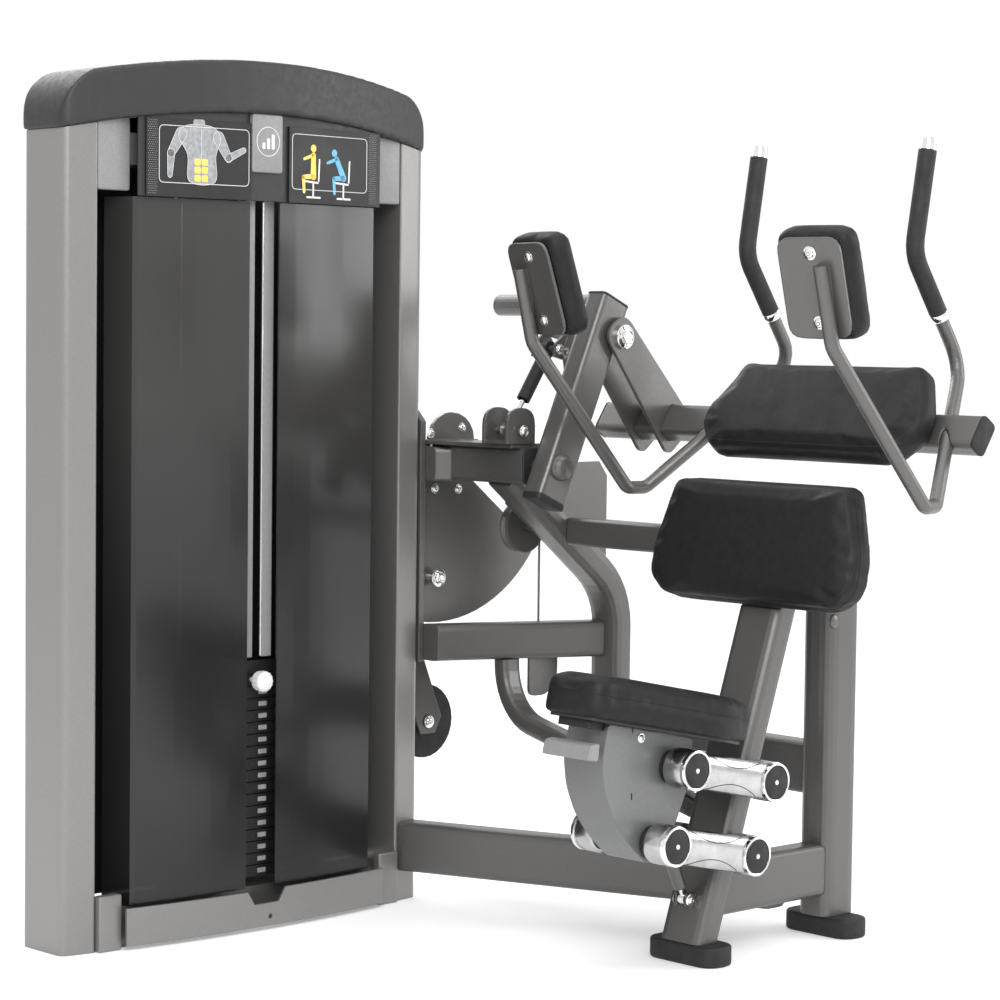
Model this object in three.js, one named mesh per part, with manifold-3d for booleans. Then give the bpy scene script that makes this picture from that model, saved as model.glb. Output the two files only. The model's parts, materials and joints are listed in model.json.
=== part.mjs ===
// Ab crunch machine: a weight tower, a lever-driven upper carriage and a height-adjustable seat.
// Millimetres, +Z up. The drawing frame has its origin on the floor at the tower's front left
// corner: +X runs across the tower's front, -Y points out of the tower towards the seat, and the
// user faces -X. The last lines move the assembly so that its box is centred on the origin.
import * as THREE from 'three';
import { mergeVertices } from 'three/addons/utils/BufferGeometryUtils.js';
import Module from 'manifold-3d';

const wasm = await Module();
wasm.setup();

// ---------------------------------------------------------------- driving dimensions
const GAP = 0.3; // clearance between touching pieces
const TOWER = { width: 864, back: 124, columnWidth: 68 };
const TOWER_MID = TOWER.width / 2;
const CAP = { endBottom: 1500, rise: 45, endHeight: 96, overhang: 6, front: -66, back: 130 };
const FRONT_SAG = 38; // how far the tower's front bulges at its middle
const SHIELD = { bottom: 80, top: 1382, thickness: 4, inner: 36, outer: 290, wrapBack: 48 };
const PLACARD = { bottom: 1383, top: 1526, inner: 45, outer: 276, thickness: 4 };
const STACK = { bottom: 95, pitch: 23, plates: 16, halfWidth: 190, front: -8, back: 92 };
const STACK_ROD = { y: 42, radius: 11, bore: 13 };
const GUIDE = { offset: 145, radius: 11, bore: 12.5 };
const PIN_Z = 475;
const TOP_PULLEY = new THREE.Vector2(TOWER_MID + 46, 1470);

const TUBE = { height: 100, width: 60, radius: 14 };
const BENCH_Y = -762; // middle plane of the seat, the pads and the feet
const LEVER_Y = -305; // middle plane of the lever
const GOOSENECK_Y = -180;
const PIVOT = new THREE.Vector2(936, 882); // main pivot in X and Z
const SWING = new THREE.Vector2(1088, 1137); // swing yoke's pivot on the lever
const STRUT_FOOT = new THREE.Vector2(904, 951);
const STRUT_HEAD = new THREE.Vector2(1011, 1111);
const STRUT_Y = -213;
const CROSS = { x: 1232, z: 966, near: -1112, far: -165, lean: THREE.MathUtils.degToRad(34) };
const ARM = { plateOut: 338, tubeOut: 366, gripOut: 206 };
ARM.lean = THREE.MathUtils.degToRad(17.7);
ARM.toeIn = THREE.MathUtils.degToRad(9);
const CAM = { radius: 330, thickness: 12, y: 34, left: 886 };
const MAST = { foot: new THREE.Vector2(859, 54), head: new THREE.Vector2(1085, 722) };
const LUMBAR = { x: 1058, z: 757, lean: THREE.MathUtils.degToRad(10) }; // middle of the pad's back
const LUMBAR_RAIL = new THREE.Vector2(1086, 746);
const HUB = new THREE.Vector2(1074, 748); // cable pulley behind the gooseneck post
const HUB_Y = -80;
const POST_X = 1240;
const FOOT_HEIGHT = 38;
const LINK = { rearTop: [956, 332], rearLow: [908, 202], frontTop: [743, 374], frontLow: [695, 244] };
const LINK_OUT = 77; // inner face of a link arm, from the middle plane
const SEAT_STRUT = { low: new THREE.Vector2(838, 116), high: new THREE.Vector2(774, 250) };
const SEAT = { x: 708, z: 440, thickness: 80 }; // middle of the seat pad's base
SEAT.tilt = THREE.MathUtils.degToRad(11.5);

// ---------------------------------------------------------------- materials
const finish = (color, roughness, metalness) => ({ color, roughness, metalness });
const FRAME_GREY = finish(0x7d7b78, 0.45, 0.6);
const COLUMN_GREY = finish(0xa39f9b, 0.4, 0.55);
const CHARCOAL = finish(0x3b3b3c, 0.55, 0.1);
const SMOKE = finish(0x3a3a3a, 0.15, 0.0);
const BLACK_PANEL = finish(0x141414, 0.35, 0.0);
const VINYL = finish(0x2a2a2a, 0.6, 0.0);
const RUBBER = finish(0x202020, 0.85, 0.0);
const CHROME = finish(0xd8d8d8, 0.12, 1.0);
const SILVER = finish(0xc4c4c4, 0.25, 0.9);
const IRON = finish(0x161616, 0.6, 0.4);
const LIGHT_PLASTIC = finish(0xa9abad, 0.5, 0.1);

// ---------------------------------------------------------------- solids
const machine = new THREE.Group();

function add(name, geometry, look) {
  const mesh = new THREE.Mesh(geometry, new THREE.MeshStandardMaterial(look));
  mesh.name = name;
  machine.add(mesh);
}

function toSolid(geometry) {
  let bare = geometry.index ? geometry.toNonIndexed() : geometry.clone();
  bare.deleteAttribute('normal');
  bare.deleteAttribute('uv');
  bare = mergeVertices(bare, 1e-4);
  const mesh = new wasm.Mesh({
    numProp: 3,
    vertProperties: new Float32Array(bare.attributes.position.array),
    triVerts: new Uint32Array(bare.index.array),
  });
  mesh.merge();
  return new wasm.Manifold(mesh);
}

function toGeometry(solid) {
  const mesh = solid.getMesh();
  const geometry = new THREE.BufferGeometry();
  geometry.setAttribute('position', new THREE.BufferAttribute(mesh.vertProperties, 3));
  geometry.setIndex(new THREE.BufferAttribute(mesh.triVerts, 1));
  return geometry;
}

function join(...geometries) {
  const solids = geometries.map(toSolid);
  return toGeometry(solids.reduce((sum, next) => sum.add(next)));
}

function cut(base, ...tools) {
  const solids = tools.map(toSolid);
  return toGeometry(solids.reduce((rest, tool) => rest.subtract(tool), toSolid(base)));
}

function common(a, b) {
  return toGeometry(toSolid(a).intersect(toSolid(b)));
}

// ---------------------------------------------------------------- shapes
const v2 = (x, y) => new THREE.Vector2(x, y);
const v3 = (x, y, z) => new THREE.Vector3(x, y, z);

// A closed outline whose corner i is rounded with radii[i] (or one radius for all).
function roundedOutline(points, radii) {
  const shape = new THREE.Shape();
  const count = points.length;
  points.forEach((corner, i) => {
    const radius = Array.isArray(radii) ? radii[i] : radii;
    const before = points[(i + count - 1) % count].clone().sub(corner).setLength(radius).add(corner);
    const after = points[(i + 1) % count].clone().sub(corner).setLength(radius).add(corner);
    if (i === 0) shape.moveTo(before.x, before.y);
    else shape.lineTo(before.x, before.y);
    if (radius > 0) shape.quadraticCurveTo(corner.x, corner.y, after.x, after.y);
  });
  return shape;
}

function roundedRectangle(width, height, radius) {
  const x = width / 2;
  const y = height / 2;
  return roundedOutline([v2(-x, -y), v2(x, -y), v2(x, y), v2(-x, y)], radius);
}

function circle(x, y, radius) {
  const shape = new THREE.Shape();
  shape.absarc(x, y, radius, 0, 2 * Math.PI);
  return shape;
}

// An outline drawn in X and Z, made solid from yMax back to yMax - thickness.
function extrudeXZ(shape, yMax, thickness, curveSegments = 4) {
  const options = { depth: thickness, bevelEnabled: false, curveSegments };
  const geometry = new THREE.ExtrudeGeometry(shape, options);
  const basis = new THREE.Matrix4().makeBasis(v3(1, 0, 0), v3(0, 0, 1), v3(0, -1, 0));
  return geometry.applyMatrix4(basis.setPosition(0, yMax, 0));
}

// An outline drawn in X and Y, made solid from zMin upwards.
function extrudeUp(shape, zMin, height, curveSegments = 4) {
  const geometry = new THREE.ExtrudeGeometry(shape, { depth: height, bevelEnabled: false, curveSegments });
  return geometry.translate(0, 0, zMin);
}

function box(xMin, xMax, yMin, yMax, zMin, zMax) {
  const geometry = new THREE.BoxGeometry(xMax - xMin, yMax - yMin, zMax - zMin);
  return geometry.translate((xMin + xMax) / 2, (yMin + yMax) / 2, (zMin + zMax) / 2);
}

function cylinderY(x, z, yMin, yMax, radius, sides = 20) {
  const geometry = new THREE.CylinderGeometry(radius, radius, yMax - yMin, sides);
  return geometry.translate(x, (yMin + yMax) / 2, z);
}

function cylinderZ(x, y, zMin, zMax, radius, sides = 16) {
  const geometry = new THREE.CylinderGeometry(radius, radius, zMax - zMin, sides);
  return geometry.rotateX(Math.PI / 2).translate(x, y, (zMin + zMax) / 2);
}

// A turned piece about an axis parallel to Y; the profile is a list of [radius, offset] pairs.
function turnedY(x, y, z, profile, sides = 28) {
  const points = profile.map(([radius, offset]) => v2(radius, offset));
  return new THREE.LatheGeometry(points, sides).translate(x, y, z);
}

// A straight bar of any section from start to end; the section's first axis lies along `side`.
function bar(start, end, shape, side, curveSegments = 3) {
  const length = start.distanceTo(end);
  const along = end.clone().sub(start).normalize();
  const up = along.clone().cross(side).normalize();
  const across = up.clone().cross(along);
  const geometry = new THREE.ExtrudeGeometry(shape, { depth: length, bevelEnabled: false, curveSegments });
  return geometry.applyMatrix4(new THREE.Matrix4().makeBasis(across, up, along).setPosition(start));
}

// A polyline with rounded corners, sampled so that every sample is one ring of a swept tube.
class BentPath extends THREE.Curve {
  constructor(corners, radii, side, stepAngle = 12) {
    super();
    this.side = side;
    this.points = [corners[0]];
    for (let i = 1; i < corners.length - 1; i++) {
      this.addBend(corners[i - 1], corners[i], corners[i + 1], radii[i - 1], stepAngle);
    }
    this.points.push(corners[corners.length - 1]);
  }

  addBend(before, corner, after, radius, stepAngle) {
    const toBefore = before.clone().sub(corner).normalize();
    const toAfter = after.clone().sub(corner).normalize();
    const bend = Math.PI - toBefore.angleTo(toAfter);
    const reach = radius * Math.tan(bend / 2);
    const bisector = toBefore.clone().add(toAfter).normalize();
    const centre = corner.clone().addScaledVector(bisector, radius / Math.cos(bend / 2));
    const first = corner.clone().addScaledVector(toBefore, reach).sub(centre);
    const axis = toAfter.clone().cross(toBefore).normalize();
    const steps = Math.max(2, Math.ceil(THREE.MathUtils.radToDeg(bend) / stepAngle));
    for (let k = 0; k <= steps; k++) {
      const spoke = first.clone().applyAxisAngle(axis, (bend * k) / steps);
      this.points.push(centre.clone().add(spoke));
    }
  }

  get steps() {
    return this.points.length - 1;
  }

  getPoint(t) {
    const place = t * this.steps;
    const index = Math.min(Math.floor(place), this.steps - 1);
    return this.points[index].clone().lerp(this.points[index + 1], place - index);
  }

  getPointAt(t) {
    return this.getPoint(t);
  }

  getTangentAt(t) {
    const index = Math.round(t * this.steps);
    const before = this.points[Math.max(index - 1, 0)];
    const here = this.points[index];
    const after = this.points[Math.min(index + 1, this.steps)];
    const into = here.clone().sub(before).normalize();
    const out = after.clone().sub(here).normalize();
    return into.add(out).normalize();
  }

  computeFrenetFrames(segments) {
    const frames = { tangents: [], normals: [], binormals: [] };
    for (let i = 0; i <= segments; i++) {
      const tangent = this.getTangentAt(i / segments);
      const normal = this.side.clone().cross(tangent).normalize();
      frames.tangents.push(tangent);
      frames.normals.push(normal);
      frames.binormals.push(tangent.clone().cross(normal));
    }
    return frames;
  }
}

function sweep(path, shape, curveSegments = 3) {
  return new THREE.ExtrudeGeometry(shape, { steps: path.steps, extrudePath: path, curveSegments });
}

function rod(start, end, radius, sides = 12) {
  const side = Math.abs(end.clone().sub(start).normalize().x) > 0.9 ? v3(0, 1, 0) : v3(1, 0, 0);
  return bar(start, end, circle(0, 0, radius), side, sides);
}

// ---------------------------------------------------------------- tower
const across = (x) => (x - TOWER_MID) / TOWER_MID;
const frontY = (x, ends, sag) => ends - sag * (1 - across(x) ** 2);

function arcPoints(count, xFrom, xTo, height) {
  const points = [];
  for (let i = 0; i <= count; i++) {
    const x = xFrom + ((xTo - xFrom) * i) / count;
    points.push(v2(x, height(x)));
  }
  return points;
}

function mirrored(points) {
  return points.map((p) => v2(TOWER.width - p.x, p.y)).reverse();
}

const capBottom = (x) => CAP.endBottom + CAP.rise * (1 - across(x) ** 2);

function belowCap() {
  const arc = arcPoints(24, -20, TOWER.width + 20, (x) => capBottom(x) - GAP).reverse();
  const outline = [v2(-20, -10), v2(TOWER.width + 20, -10), ...arc];
  return extrudeXZ(new THREE.Shape(outline), 300, 600);
}

function makeColumns() {
  const plan = [v2(0, -1), v2(TOWER.columnWidth, -12)];
  plan.push(v2(TOWER.columnWidth, TOWER.back), v2(0, TOWER.back));
  const radii = [16, 5, 5, 14];
  const height = 1535;
  const below = belowCap();
  add('left_column', common(extrudeUp(roundedOutline(plan, radii), 0, height, 6), below), COLUMN_GREY);
  const right = extrudeUp(roundedOutline(mirrored(plan), [...radii].reverse()), 0, height, 6);
  add('right_column', common(right, below), COLUMN_GREY);
}

function makeCap() {
  const left = -CAP.overhang;
  const right = TOWER.width + CAP.overhang;
  const lower = arcPoints(16, left, right, capBottom);
  const capTop = (x) => capBottom(x) + CAP.endHeight + 2 * (1 - across(x) ** 2);
  const upper = arcPoints(16, left, right, capTop).reverse();
  const radii = [...lower.map(() => 0), ...upper.map(() => 0)];
  radii[lower.length] = 40;
  radii[radii.length - 1] = 40;
  const elevation = extrudeXZ(roundedOutline([...lower, ...upper], radii), 200, 400, 6);
  const front = arcPoints(16, left, right, (x) => frontY(x, -6, -6 - CAP.front));
  const plan = [...front, v2(right, CAP.back), v2(left, CAP.back)];
  const planRadii = plan.map(() => 0);
  planRadii[0] = 20;
  planRadii[front.length - 1] = 20;
  planRadii[front.length] = 20;
  planRadii[front.length + 1] = 20;
  add('tower_cap', common(elevation, extrudeUp(roundedOutline(plan, planRadii), 1400, 300, 6)), CHARCOAL);
}

function makeShields() {
  const shieldY = (x) => frontY(x, 0, FRONT_SAG);
  const inner = TOWER_MID - SHIELD.inner;
  const outer = TOWER_MID - SHIELD.outer;
  const t = SHIELD.thickness;
  const outside = [v2(outer - 18, SHIELD.wrapBack), v2(outer, shieldY(outer) + 6)];
  outside.push(v2(outer + 7, shieldY(outer + 14)));
  outside.push(...arcPoints(4, outer + 90, inner, shieldY));
  const inside = arcPoints(4, outer + 90, inner, (x) => shieldY(x) + t).reverse();
  inside.push(v2(outer + 9, shieldY(outer + 14) + t), v2(outer + t, shieldY(outer) + 8));
  inside.push(v2(outer - 18 + t, SHIELD.wrapBack));
  const plan = [...outside, ...inside];
  const height = SHIELD.top - SHIELD.bottom;
  add('left_shield', extrudeUp(new THREE.Shape(plan), SHIELD.bottom, height), SMOKE);
  add('right_shield', extrudeUp(new THREE.Shape(mirrored(plan)), SHIELD.bottom, height), SMOKE);
}

function makePlacards() {
  const faceY = (x) => frontY(x, -14, FRONT_SAG + 2);
  const inner = TOWER_MID - PLACARD.inner;
  const outer = TOWER_MID - PLACARD.outer;
  const t = PLACARD.thickness;
  const plan = [v2(outer, faceY(outer)), v2(inner, faceY(inner)), v2(inner, faceY(inner) + t)];
  plan.push(v2(outer, faceY(outer) + t));
  const height = PLACARD.top - PLACARD.bottom;
  add('left_placard', extrudeUp(new THREE.Shape(plan), PLACARD.bottom, height), BLACK_PANEL);
  add('right_placard', extrudeUp(new THREE.Shape(mirrored(plan)), PLACARD.bottom, height), BLACK_PANEL);
}

function makeTowerFrame() {
  const left = TOWER.columnWidth + GAP;
  const right = TOWER.width - TOWER.columnWidth - GAP;
  const window = box(TOWER_MID - 60, TOWER_MID + 200, 16, 74, 1400, 1600);
  const axle = cylinderY(TOP_PULLEY.x, TOP_PULLEY.y, 10, 80, 7.4, 12);
  add('top_crossbeam', join(cut(box(left, right, 0, 90, 1440, 1498), window), axle), COLUMN_GREY);
  add('base_crossbeam', box(left, right, -6, 96, 0, 76), FRAME_GREY);
  add('rear_shroud', common(box(left, right, 108, 112, 80, 1600), belowCap()), CHARCOAL);
  const kick = arcPoints(14, 120, TOWER.width - 120, (x) => frontY(x, -18, 42));
  const back = arcPoints(14, 120, TOWER.width - 120, (x) => frontY(x, -12, 42)).reverse();
  const plate = extrudeUp(new THREE.Shape([...kick, ...back]), 8, 70);
  const notch = [v2(TOWER_MID - 54, 90), v2(TOWER_MID - 30, 52)];
  notch.push(v2(TOWER_MID + 30, 52), v2(TOWER_MID + 54, 90));
  const hole = cylinderY(TOWER_MID + 8, 26, -100, 0, 5, 10);
  add('kick_plate', cut(plate, extrudeXZ(new THREE.Shape(notch), 0, 100), hole), COLUMN_GREY);
}

// ---------------------------------------------------------------- weight stack
const stackTop = STACK.bottom + STACK.pitch * STACK.plates;

function stackBores(zMin, zMax) {
  return [-1, 1].map((sign) => {
    const x = TOWER_MID + sign * GUIDE.offset;
    return cylinderZ(x, STACK_ROD.y, zMin, zMax, GUIDE.bore, 14);
  });
}

function makeWeights() {
  const { front, back, halfWidth } = STACK;
  const notch = 2.2;
  const profile = [];
  for (let i = 0; i < STACK.plates; i++) {
    const low = STACK.bottom + i * STACK.pitch;
    profile.push(v2(front, low), v2(front, low + STACK.pitch - notch));
    profile.push(v2(front + 5, low + STACK.pitch - notch), v2(front + 5, low + STACK.pitch));
  }
  profile.push(v2(back, stackTop - GAP), v2(back, STACK.bottom));
  profile[profile.length - 3].y -= GAP;
  const combDepth = { depth: 2 * halfWidth, bevelEnabled: false };
  const comb = new THREE.ExtrudeGeometry(new THREE.Shape(profile), combDepth);
  comb.applyMatrix4(new THREE.Matrix4().makeBasis(v3(0, 1, 0), v3(0, 0, 1), v3(1, 0, 0)));
  comb.translate(TOWER_MID - halfWidth, 0, 0);
  const rodBore = cylinderZ(TOWER_MID, STACK_ROD.y, 50, 600, STACK_ROD.bore);
  add('weight_stack', cut(comb, rodBore, ...stackBores(50, 600)), IRON);

  const [left, right] = [TOWER_MID - halfWidth, TOWER_MID + halfWidth];
  const lifted = box(left, right, front, back, stackTop + GAP, stackTop + 22);
  const head = box(TOWER_MID - halfWidth, TOWER_MID + halfWidth, front, back, stackTop + 24, stackTop + 49);
  const spacer = box(TOWER_MID - 182, TOWER_MID + 182, front + 5, back - 5, stackTop + 21, stackTop + 25);
  const pinBore = cylinderY(TOWER_MID, PIN_Z, front - 10, STACK_ROD.y - 14, 6.5, 12);
  const blocks = cut(join(lifted, head, spacer), ...stackBores(400, 600), pinBore);
  const stem = cylinderZ(TOWER_MID, STACK_ROD.y, STACK.bottom + 12, stackTop + 70, STACK_ROD.radius);
  const collar = cylinderZ(TOWER_MID, STACK_ROD.y, stackTop + 45, stackTop + 62, 18);
  const cableBore = cylinderZ(TOWER_MID, STACK_ROD.y, STACK.bottom, stackTop + 90, 6, 10);
  add('head_plate', cut(join(blocks, stem, collar), cableBore), IRON);
  const knob = [[0, -44], [15, -44], [19, -40], [19, -22], [15, -18], [4.8, -18], [4.8, 16], [0, 18]];
  add('selector_pin', turnedY(TOWER_MID, -8, PIN_Z, knob, 20), LIGHT_PLASTIC);

  const rodEnds = [76 + GAP, 1440 - GAP];
  [['left', -1], ['right', 1]].forEach(([side, sign]) => {
    const x = TOWER_MID + sign * GUIDE.offset;
    add(`${side}_guide_rod`, cylinderZ(x, STACK_ROD.y, ...rodEnds, GUIDE.radius), CHROME);
  });
  add('lift_cable', cylinderZ(TOWER_MID, STACK_ROD.y, STACK.bottom + 20, 1476, 4, 8), CHROME);
}

function pulley(x, y, z, radius, width, bore) {
  const half = width / 2;
  const rim = [[bore, -half], [radius, -half], [radius, -half + 3], [radius - 7, -2], [radius - 7, 2]];
  rim.push([radius, half - 3], [radius, half], [bore, half], [bore, -half]);
  return turnedY(x, y, z, rim);
}

// ---------------------------------------------------------------- drive frame
function housingBar(grow) {
  const size = 72 + 2 * grow;
  const start = v3(PIVOT.x, 14 + grow, PIVOT.y);
  const end = v3(PIVOT.x, -258 - grow, PIVOT.y);
  return bar(start, end, roundedRectangle(size, size, 14), v3(1, 0, 0));
}

function makeHousing() {
  const link = bar(v3(877.6, 6, 878), v3(918, -36, 878), roundedRectangle(52, 68, 10), v3(0.72, 0.7, 0));
  const trim = box(820, 877.6, -100, 100, 800, 960);
  const shelfBottom = PIVOT.y + 35;
  const shelf = join(
    box(882, 974, -246, 12, shelfBottom, shelfBottom + 8),
    box(890, 1010, -14, 12, shelfBottom, shelfBottom + 8),
  );
  const disc = [];
  for (let i = 0; i <= 10; i++) {
    const angle = (Math.PI * i) / 10;
    disc.push(v2(950 + 62 * Math.cos(angle), 924 + 56 * Math.sin(angle)));
  }
  const halfDisc = extrudeXZ(new THREE.Shape([v2(888, 920), v2(1012, 920), ...disc]), 8, 8);
  const bore = cylinderY(PIVOT.x, PIVOT.y, -300, 60, 17.5, 20);
  const camSpace = box(800, 1100, 20, 80, 700, 1000);
  add('pivot_housing', cut(join(housingBar(0), link, shelf, halfDisc), bore, trim, camSpace), FRAME_GREY);

  const foot = PIVOT.y + 43 + GAP;
  const cheek = roundedOutline([v2(866, foot), v2(942, foot), v2(942, 996), v2(866, 996)], [2, 2, 36, 36]);
  const base = box(868, 940, -250, -179, foot, foot + 7);
  const cheeks = join(extrudeXZ(cheek, -243, 7, 5), extrudeXZ(cheek, -179, 7, 5), base);
  const pin = cylinderY(STRUT_FOOT.x, STRUT_FOOT.y, -258, -172, 7, 12);
  add('strut_bracket', join(cheeks, pin), FRAME_GREY);
}

function makeFlange() {
  const side = [v2(-2, 478), v2(108, 478), v2(108, 962), v2(84, 986), v2(22, 986), v2(-2, 962)];
  const flange = new THREE.ExtrudeGeometry(new THREE.Shape(side), { depth: 13, bevelEnabled: false });
  flange.applyMatrix4(new THREE.Matrix4().makeBasis(v3(0, 1, 0), v3(0, 0, 1), v3(1, 0, 0)));
  flange.translate(TOWER.width + GAP, 0, 0);
  const x = TOWER.width + GAP;
  const hanger = [v2(x, 560), v2(x, 480), v2(928, 318), v2(968, 318), v2(985, 352), v2(900, 560)];
  const cheeks = [104, 66].map((y) => extrudeXZ(new THREE.Shape(hanger), y, 5));
  const pin = cylinderY(948, 343, 58, 106, 7, 12);
  add('tower_flange', join(flange, ...cheeks, pin), FRAME_GREY);
}

const gooseneckSection = (grow) => roundedRectangle(56 + 2 * grow, 78 + 2 * grow, 20);

function gooseneck(grow) {
  const y = GOOSENECK_Y;
  const corners = [v3(930, y, 862), v3(1236, y, 618), v3(1236, y, 300)];
  return sweep(new BentPath(corners, [150], v3(0, 1, 0), 9), gooseneckSection(grow));
}

const MID_START = v3(870, -16, 518);
const MID_END = v3(1236, -176, 518);
function midTube(grow) {
  return bar(MID_START, MID_END, roundedRectangle(48 + 2 * grow, 74 + 2 * grow, 12), v3(0.4, 0.9, 0));
}

function crossTubeSection(grow) {
  return roundedRectangle(TUBE.width + 2 * grow, TUBE.height + 2 * grow, TUBE.radius);
}
function rearCrossTube(grow) {
  return bar(v3(POST_X, -100, 315), v3(POST_X, BENCH_Y, 315), crossTubeSection(grow), v3(1, 0, 0));
}

const BASE_END = v3(1118, BENCH_Y, 110);
function baseTube(grow) {
  return bar(v3(822, 24, 110), BASE_END, crossTubeSection(grow), v3(0.93, 0.38, 0));
}

function benchTube(grow) {
  const start = v3(884, BENCH_Y, 128);
  return bar(start, v3(POST_X, BENCH_Y, 128), crossTubeSection(grow), v3(0, 1, 0));
}

const mastSection = (grow) => roundedRectangle(100 + 2 * grow, 56 + 2 * grow, 16);
function mast(grow) {
  const along = MAST.head.clone().sub(MAST.foot).normalize();
  const foot = MAST.foot.clone().addScaledVector(along, -60);
  const start = v3(foot.x, BENCH_Y, foot.y);
  return bar(start, v3(MAST.head.x, BENCH_Y, MAST.head.y), mastSection(grow), v3(0, 1, 0));
}

function lumbarRail(grow) {
  const start = v3(LUMBAR_RAIL.x, GOOSENECK_Y - 39 - GAP + grow, LUMBAR_RAIL.y);
  const end = v3(LUMBAR_RAIL.x, BENCH_Y - 60 - grow, LUMBAR_RAIL.y);
  return bar(start, end, roundedRectangle(44 + 2 * grow, 56 + 2 * grow, 12), v3(1, 0, 0));
}

const postSection = (grow) => roundedRectangle(92 + 2 * grow, 74 + 2 * grow, 26);
function rearPost(grow) {
  const start = v3(POST_X, BENCH_Y, FOOT_HEIGHT + GAP - grow);
  return bar(start, v3(POST_X, BENCH_Y, 772), postSection(grow), v3(1, 0, 0), 4);
}

function makeDriveFrame() {
  const columnSide = box(700, TOWER.width + 13 + 2 * GAP, -200, 200, 300, 1100);
  const gusset = [v2(974, 878), v2(974, 800), v2(1120, 690), v2(1255, 620), v2(1255, 850), v2(1232, 880)];
  const plate = extrudeXZ(new THREE.Shape(gusset), -134, 9);
  const hubPin = cylinderY(HUB.x, HUB.y, -150, HUB_Y + 14, 7.4, 12);
  const post = join(gooseneck(0), plate, hubPin);
  add('gooseneck_post', cut(post, housingBar(GAP), rearCrossTube(GAP)), FRAME_GREY);
  const hanger = [v2(1062, 500), v2(1062, 404), v2(1112, 404), v2(1142, 440), v2(1142, 500)];
  const hangerPlate = extrudeXZ(roundedOutline(hanger, [0, 16, 16, 16, 0]), -113, 6);
  add('mid_tube', cut(join(midTube(0), hangerPlate), columnSide, gooseneck(GAP)), FRAME_GREY);
  add('rear_cross_tube', cut(rearCrossTube(0), rearPost(GAP)), FRAME_GREY);
  const bracePoints = [v3(1028, -88, 540), v3(1028, -88, 372), v3(935, -720, 262)];
  const brace = new BentPath(bracePoints, [120], v3(1, 0, 0), 9);
  const braceSolid = sweep(brace, roundedRectangle(36, 48, 12));
  const underMidTube = box(900, 1200, -200, 0, MID_START.z - 37 - GAP, 700);
  add('j_brace', cut(braceSolid, mast(GAP), underMidTube), FRAME_GREY);
}

// ---------------------------------------------------------------- bench
function makeBench() {
  const columnFront = box(700, 900, -1, 200, 0, 300);
  const plan = [v2(TOWER.width - TOWER.columnWidth, -12 - GAP), v2(TOWER.width + 40, -1 - GAP + 6.5)];
  plan.push(v2(TOWER.width + 40, 200), v2(TOWER.width - TOWER.columnWidth, 200));
  const columnFace = extrudeUp(new THREE.Shape(plan), 0, 300);
  const pastBench = box(800, 1400, BENCH_Y - 200, BENCH_Y + 20, 0, 300);
  add('base_tube', cut(baseTube(0), columnFront, columnFace, pastBench, benchTube(GAP)), FRAME_GREY);
  add('bench_tube', cut(benchTube(0), mast(GAP), rearPost(GAP)), FRAME_GREY);
  const ground = box(600, 1100, -1000, -500, -200, FOOT_HEIGHT + GAP);
  const padSpace = box(-300, 300, -121, 200, -GAP, 120);
  padSpace.applyMatrix4(facing(v3(LUMBAR.x, BENCH_Y, LUMBAR.z), LUMBAR.lean));
  const { x, y: z } = SEAT_STRUT.low;
  const ears = [-14, 10].map((y) => box(x - 9, 870, BENCH_Y + y, BENCH_Y + y + 4, z - 12, z + 12));
  const earPin = cylinderY(x, z, BENCH_Y - 16, BENCH_Y + 16, 4, 12);
  const bareMast = cut(mast(0), ground, padSpace, lumbarRail(GAP));
  add('seat_mast', join(bareMast, ...ears, earPin), FRAME_GREY);
  add('rear_post', rearPost(0), FRAME_GREY);
  const pad = roundedOutline([v2(-39, -84), v2(39, -84), v2(39, 84), v2(-39, 84)], 38);
  const foot = () => {
    const bevel = { bevelThickness: 3, bevelSize: 3, bevelOffset: -3, bevelSegments: 1 };
    const options = { depth: FOOT_HEIGHT - 6, ...bevel };
    return new THREE.ExtrudeGeometry(pad, { ...options, curveSegments: 6 }).translate(0, 0, 3);
  };
  add('front_foot', foot().translate(858, BENCH_Y, 0), RUBBER);
  add('rear_foot', foot().translate(POST_X, BENCH_Y, 0), RUBBER);

  add('lumbar_tube', lumbarRail(0), FRAME_GREY);
}

// ---------------------------------------------------------------- pads
// A cushion drawn as an outline, given thickness with a rounded edge, then placed by a matrix.
function cushion(outline, thickness, edge, matrix, curveSegments = 4) {
  const bevel = { bevelThickness: edge, bevelSize: edge, bevelOffset: -edge, bevelSegments: 3 };
  const options = { depth: thickness - 2 * edge, ...bevel, curveSegments };
  const geometry = new THREE.ExtrudeGeometry(outline, options);
  return geometry.translate(0, 0, edge).applyMatrix4(matrix);
}

// A frame whose third axis points at the user and whose second axis leans back from vertical.
function facing(origin, lean, turn = 0) {
  const turnAboutZ = new THREE.Matrix4().makeRotationZ(turn);
  const up = v3(Math.sin(lean), 0, Math.cos(lean)).applyMatrix4(turnAboutZ);
  const across3 = v3(0, -1, 0).applyMatrix4(turnAboutZ);
  const normal = across3.clone().cross(up);
  return new THREE.Matrix4().makeBasis(across3, up, normal).setPosition(origin);
}

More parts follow.
